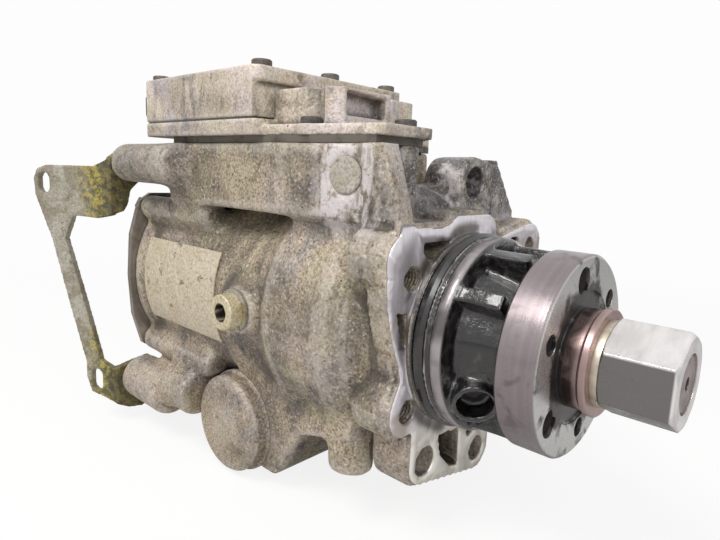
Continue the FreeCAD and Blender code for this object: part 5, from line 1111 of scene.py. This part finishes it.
@dataclass
class Dressing:
    """Puts the finishes on the CAD nodes that keep their own shapes.

    Args:
        special: the nodes whose finish differs from their slot's.
    """

    special: dict[str, Finish] = field(default_factory=lambda: {
        "hub_washer": TurnedFinish("washer_steel", (0.70, 0.64, 0.52), (0.52, 0.46, 0.37), 0.30, grime=0.4),
        "drive_shaft": TurnedFinish("shaft_steel", (0.36, 0.29, 0.28), (0.24, 0.18, 0.17), 0.26),
        "drive_hub": HubFinish(),
        "unit_gasket": SmoothFinish("old_gasket", (0.11, 0.095, 0.078), (0.035, 0.030, 0.026), 0.6,
                                    share=0.8),
        "unit_cover_screws": PlatedFinish("dull_screws", (0.17, 0.155, 0.135), (0.09, 0.075, 0.055)),
        "unit_base_screws": PlatedFinish("oily_screws", (0.13, 0.12, 0.11), (0.05, 0.042, 0.035)),
        "core_plug": PlatedFinish("dusty_plug", (0.50, 0.47, 0.42), (0.28, 0.24, 0.17), metal=0.3),
        "side_plug": PlatedFinish("waxy_plug", (0.62, 0.55, 0.38), (0.33, 0.25, 0.09), share=0.7, metal=0.35,
                                  socket=(-0.084, 0.001, 0.0043)),
    })

    def build(self) -> dict[str, Material]:
        """Returns the material of each slot, after dressing each node."""
        slots = {slot: finish.build() for slot, finish in FINISHES.items()}
        for part in frame["record"]["subparts"]:
            node = part["node"]
            material = slots[part["material_slot"]]
            if node in self.special:
                material = self.special[node].build()
            data = frame["nodes"][node].data
            if data.materials:
                for place in range(len(data.materials)):
                    data.materials[place] = material
            else:
                data.materials.append(material)
        return slots


@dataclass(frozen=True)
class Lamp:
    """A square lamp.

    Args:
        name: its name.
        place: where it hangs, in metres.
        size: its side.
        power: its power in watts.
        colour: its colour.
    """

    name: str
    place: tuple[float, float, float]
    size: float
    power: float
    colour: Colour

    def hang(self, aim: Sequence[float]) -> None:
        """Hangs it so that it faces a point."""
        light = bpy.data.lights.new(self.name, "AREA")
        light.size, light.energy, light.color = self.size, self.power, self.colour
        lamp = placed(self.name, light)
        lamp.location = self.place
        lamp.rotation_mode = "QUATERNION"
        lamp.rotation_quaternion = (Vector(self.place) - Vector(aim)).to_track_quat("Z", "Y")


@dataclass
class Studio:
    """A pale floor, soft light and the camera.

    Args:
        focus: the photograph's focal length over its width.
        turn: how far the camera looks to the left of the line across the pump, in degrees.
        tilt: how far it looks down.
        lean: how far it leans.
        stand: where it stands, in metres.
        sensor: the width of its sensor, in millimetres.
        near: the nearest that it sees, in metres.
        floor: the floor's height.
        reach: how far the floor goes to each side.
        floor_glow: how white the floor is to the camera under the pump.
        fade: the distances between which the floor turns fully white.
        mirrored: how much of the dark floor shows in reflections.
        white: the background.
        dark: the floor in reflections.
        day: the world's light on the pump.
        day_strength: how strong that light is.
        middle: the point that the lamps face.
        lamps: the lamps.
    """

    focus: float = 555.0 / 720.0
    turn: float = 42.68
    tilt: float = 10.0
    lean: float = -2.43
    stand: tuple[float, float, float] = (0.12826, -0.20994, 0.06674)
    sensor: float = 36.0
    near: float = 0.01
    floor: float = -0.0945
    reach: float = 6.0
    floor_glow: float = 0.86
    fade: Span = (0.22, 1.10)
    mirrored: float = 0.3
    white: Colour = (0.985, 0.985, 0.985)
    dark: Colour = (0.06, 0.055, 0.055)
    day: Colour = (1.0, 0.985, 0.97)
    day_strength: float = 0.50
    middle: tuple[float, float, float] = (-0.07, 0.0, 0.0)
    lamps: tuple[Lamp, ...] = (Lamp("key", (-0.15, -0.70, 0.95), 0.45, 9.0, (1.0, 0.985, 0.96)),
                               Lamp("fill", (0.80, -0.45, 0.70), 0.40, 4.2, (0.97, 0.98, 1.0)))

    def camera(self) -> None:
        """Sets the camera: forwards, right and down follow from the turn, the tilt and the lean."""
        turn, tilt, lean = np.radians([self.turn, self.tilt, self.lean])
        ahead = np.array([-np.sin(turn) * np.cos(tilt), np.cos(turn) * np.cos(tilt), -np.sin(tilt)])
        right = np.cross(ahead, [0.0, 0.0, 1.0])
        right /= np.linalg.norm(right)
        down = np.cross(ahead, right)
        across = np.cos(lean) * right + np.sin(lean) * down
        below = -np.sin(lean) * right + np.cos(lean) * down
        lens = bpy.data.cameras.new("camera")
        lens.sensor_width, lens.lens = self.sensor, self.sensor * self.focus
        lens.clip_start = self.near
        camera = placed("camera", lens)
        turned = np.eye(4)
        turned[:3, 0], turned[:3, 1], turned[:3, 2], turned[:3, 3] = across, -below, -ahead, self.stand
        camera.matrix_world = Matrix(turned.tolist())
        bpy.context.scene.camera = camera

    def backdrop(self) -> None:
        """Lays the floor, which is white to the camera and dark in reflections, and keeps the shadow."""
        mesh = bpy.data.meshes.new("floor")
        corners = [(-1.0, -1.0), (1.0, -1.0), (1.0, 1.0), (-1.0, 1.0)]
        points = [(x * self.reach, y * self.reach, self.floor) for x, y in corners]
        mesh.from_pydata(points, [], [(0, 1, 2, 3)])
        floor = placed("floor", mesh)
        p = Paint("floor")
        p.done(Base_Color=(0.97, 0.97, 0.97), Roughness=0.9, Specular_IOR_Level=0.0)
        lit, end = p.tree.nodes["Principled BSDF"], p.tree.nodes["Material Output"]
        seen, glossy = (p.number("ShaderNodeLightPath", {}, {}, ray) for ray in RAYS)
        far = (p.x - self.middle[0]).hypot(p.y).over(*self.fade)
        colours = (self.white, self.dark)
        glow, dark = (p.node("ShaderNodeEmission", {}, {"Color": colour}) for colour in colours)
        share = seen * (self.floor_glow + far * (1.0 - self.floor_glow))
        both = p.node("ShaderNodeMixShader", {}, {0: share, 1: lit.outputs[0], 2: glow.outputs[0]})
        inputs = {0: glossy * self.mirrored, 1: both.outputs[0], 2: dark.outputs[0]}
        p.tree.links.new(p.node("ShaderNodeMixShader", {}, inputs).outputs[0], end.inputs["Surface"])
        mesh.materials.append(p.material)

    def world(self) -> None:
        """Makes the world white to the camera and in reflections, and plain daylight to the pump."""
        world = bpy.data.worlds.new("studio")
        bpy.context.scene.world = world
        world.use_nodes = True
        nodes, links = world.node_tree.nodes, world.node_tree.links
        nodes.clear()
        path, seen = nodes.new("ShaderNodeLightPath"), nodes.new("ShaderNodeMath")
        seen.operation = "MAXIMUM"
        both, end = nodes.new("ShaderNodeMixShader"), nodes.new("ShaderNodeOutputWorld")
        links.new(seen.outputs[0], both.inputs[0])
        for place, ray in enumerate(RAYS):
            links.new(path.outputs[ray], seen.inputs[place])
        for place, (colour, strength) in enumerate(((self.day, self.day_strength), (self.white, 1.0)), 1):
            light = nodes.new("ShaderNodeBackground")
            light.inputs["Color"].default_value = (*colour, 1.0)
            light.inputs["Strength"].default_value = strength
            links.new(light.outputs[0], both.inputs[place])
        links.new(both.outputs[0], end.inputs[0])

    def build(self) -> None:
        """Sets up the camera, the floor, the world and the lamps."""
        self.camera()
        self.backdrop()
        self.world()
        for lamp in self.lamps:
            lamp.hang(self.middle)
        bpy.context.scene.view_settings.view_transform = "Standard"


def main() -> None:
    """Builds the looks in order and logs what it dressed, the faces of each new piece and each thread cut."""
    logging.basicConfig(level=logging.INFO, format="%(message)s")
    slots = Dressing().build()
    log.info("dressed %d nodes", len(frame["nodes"]))
    for piece in [*Castings().build(), TurnedNut().build()]:
        log.info("%s has %d faces", piece.name, len(piece.data.polygons))
    for piece in Threads().build(slots["cast_aluminium"]):
        log.info("%s is cut", piece.name)
    Studio().build()


if __name__ == "__main__":
    main()
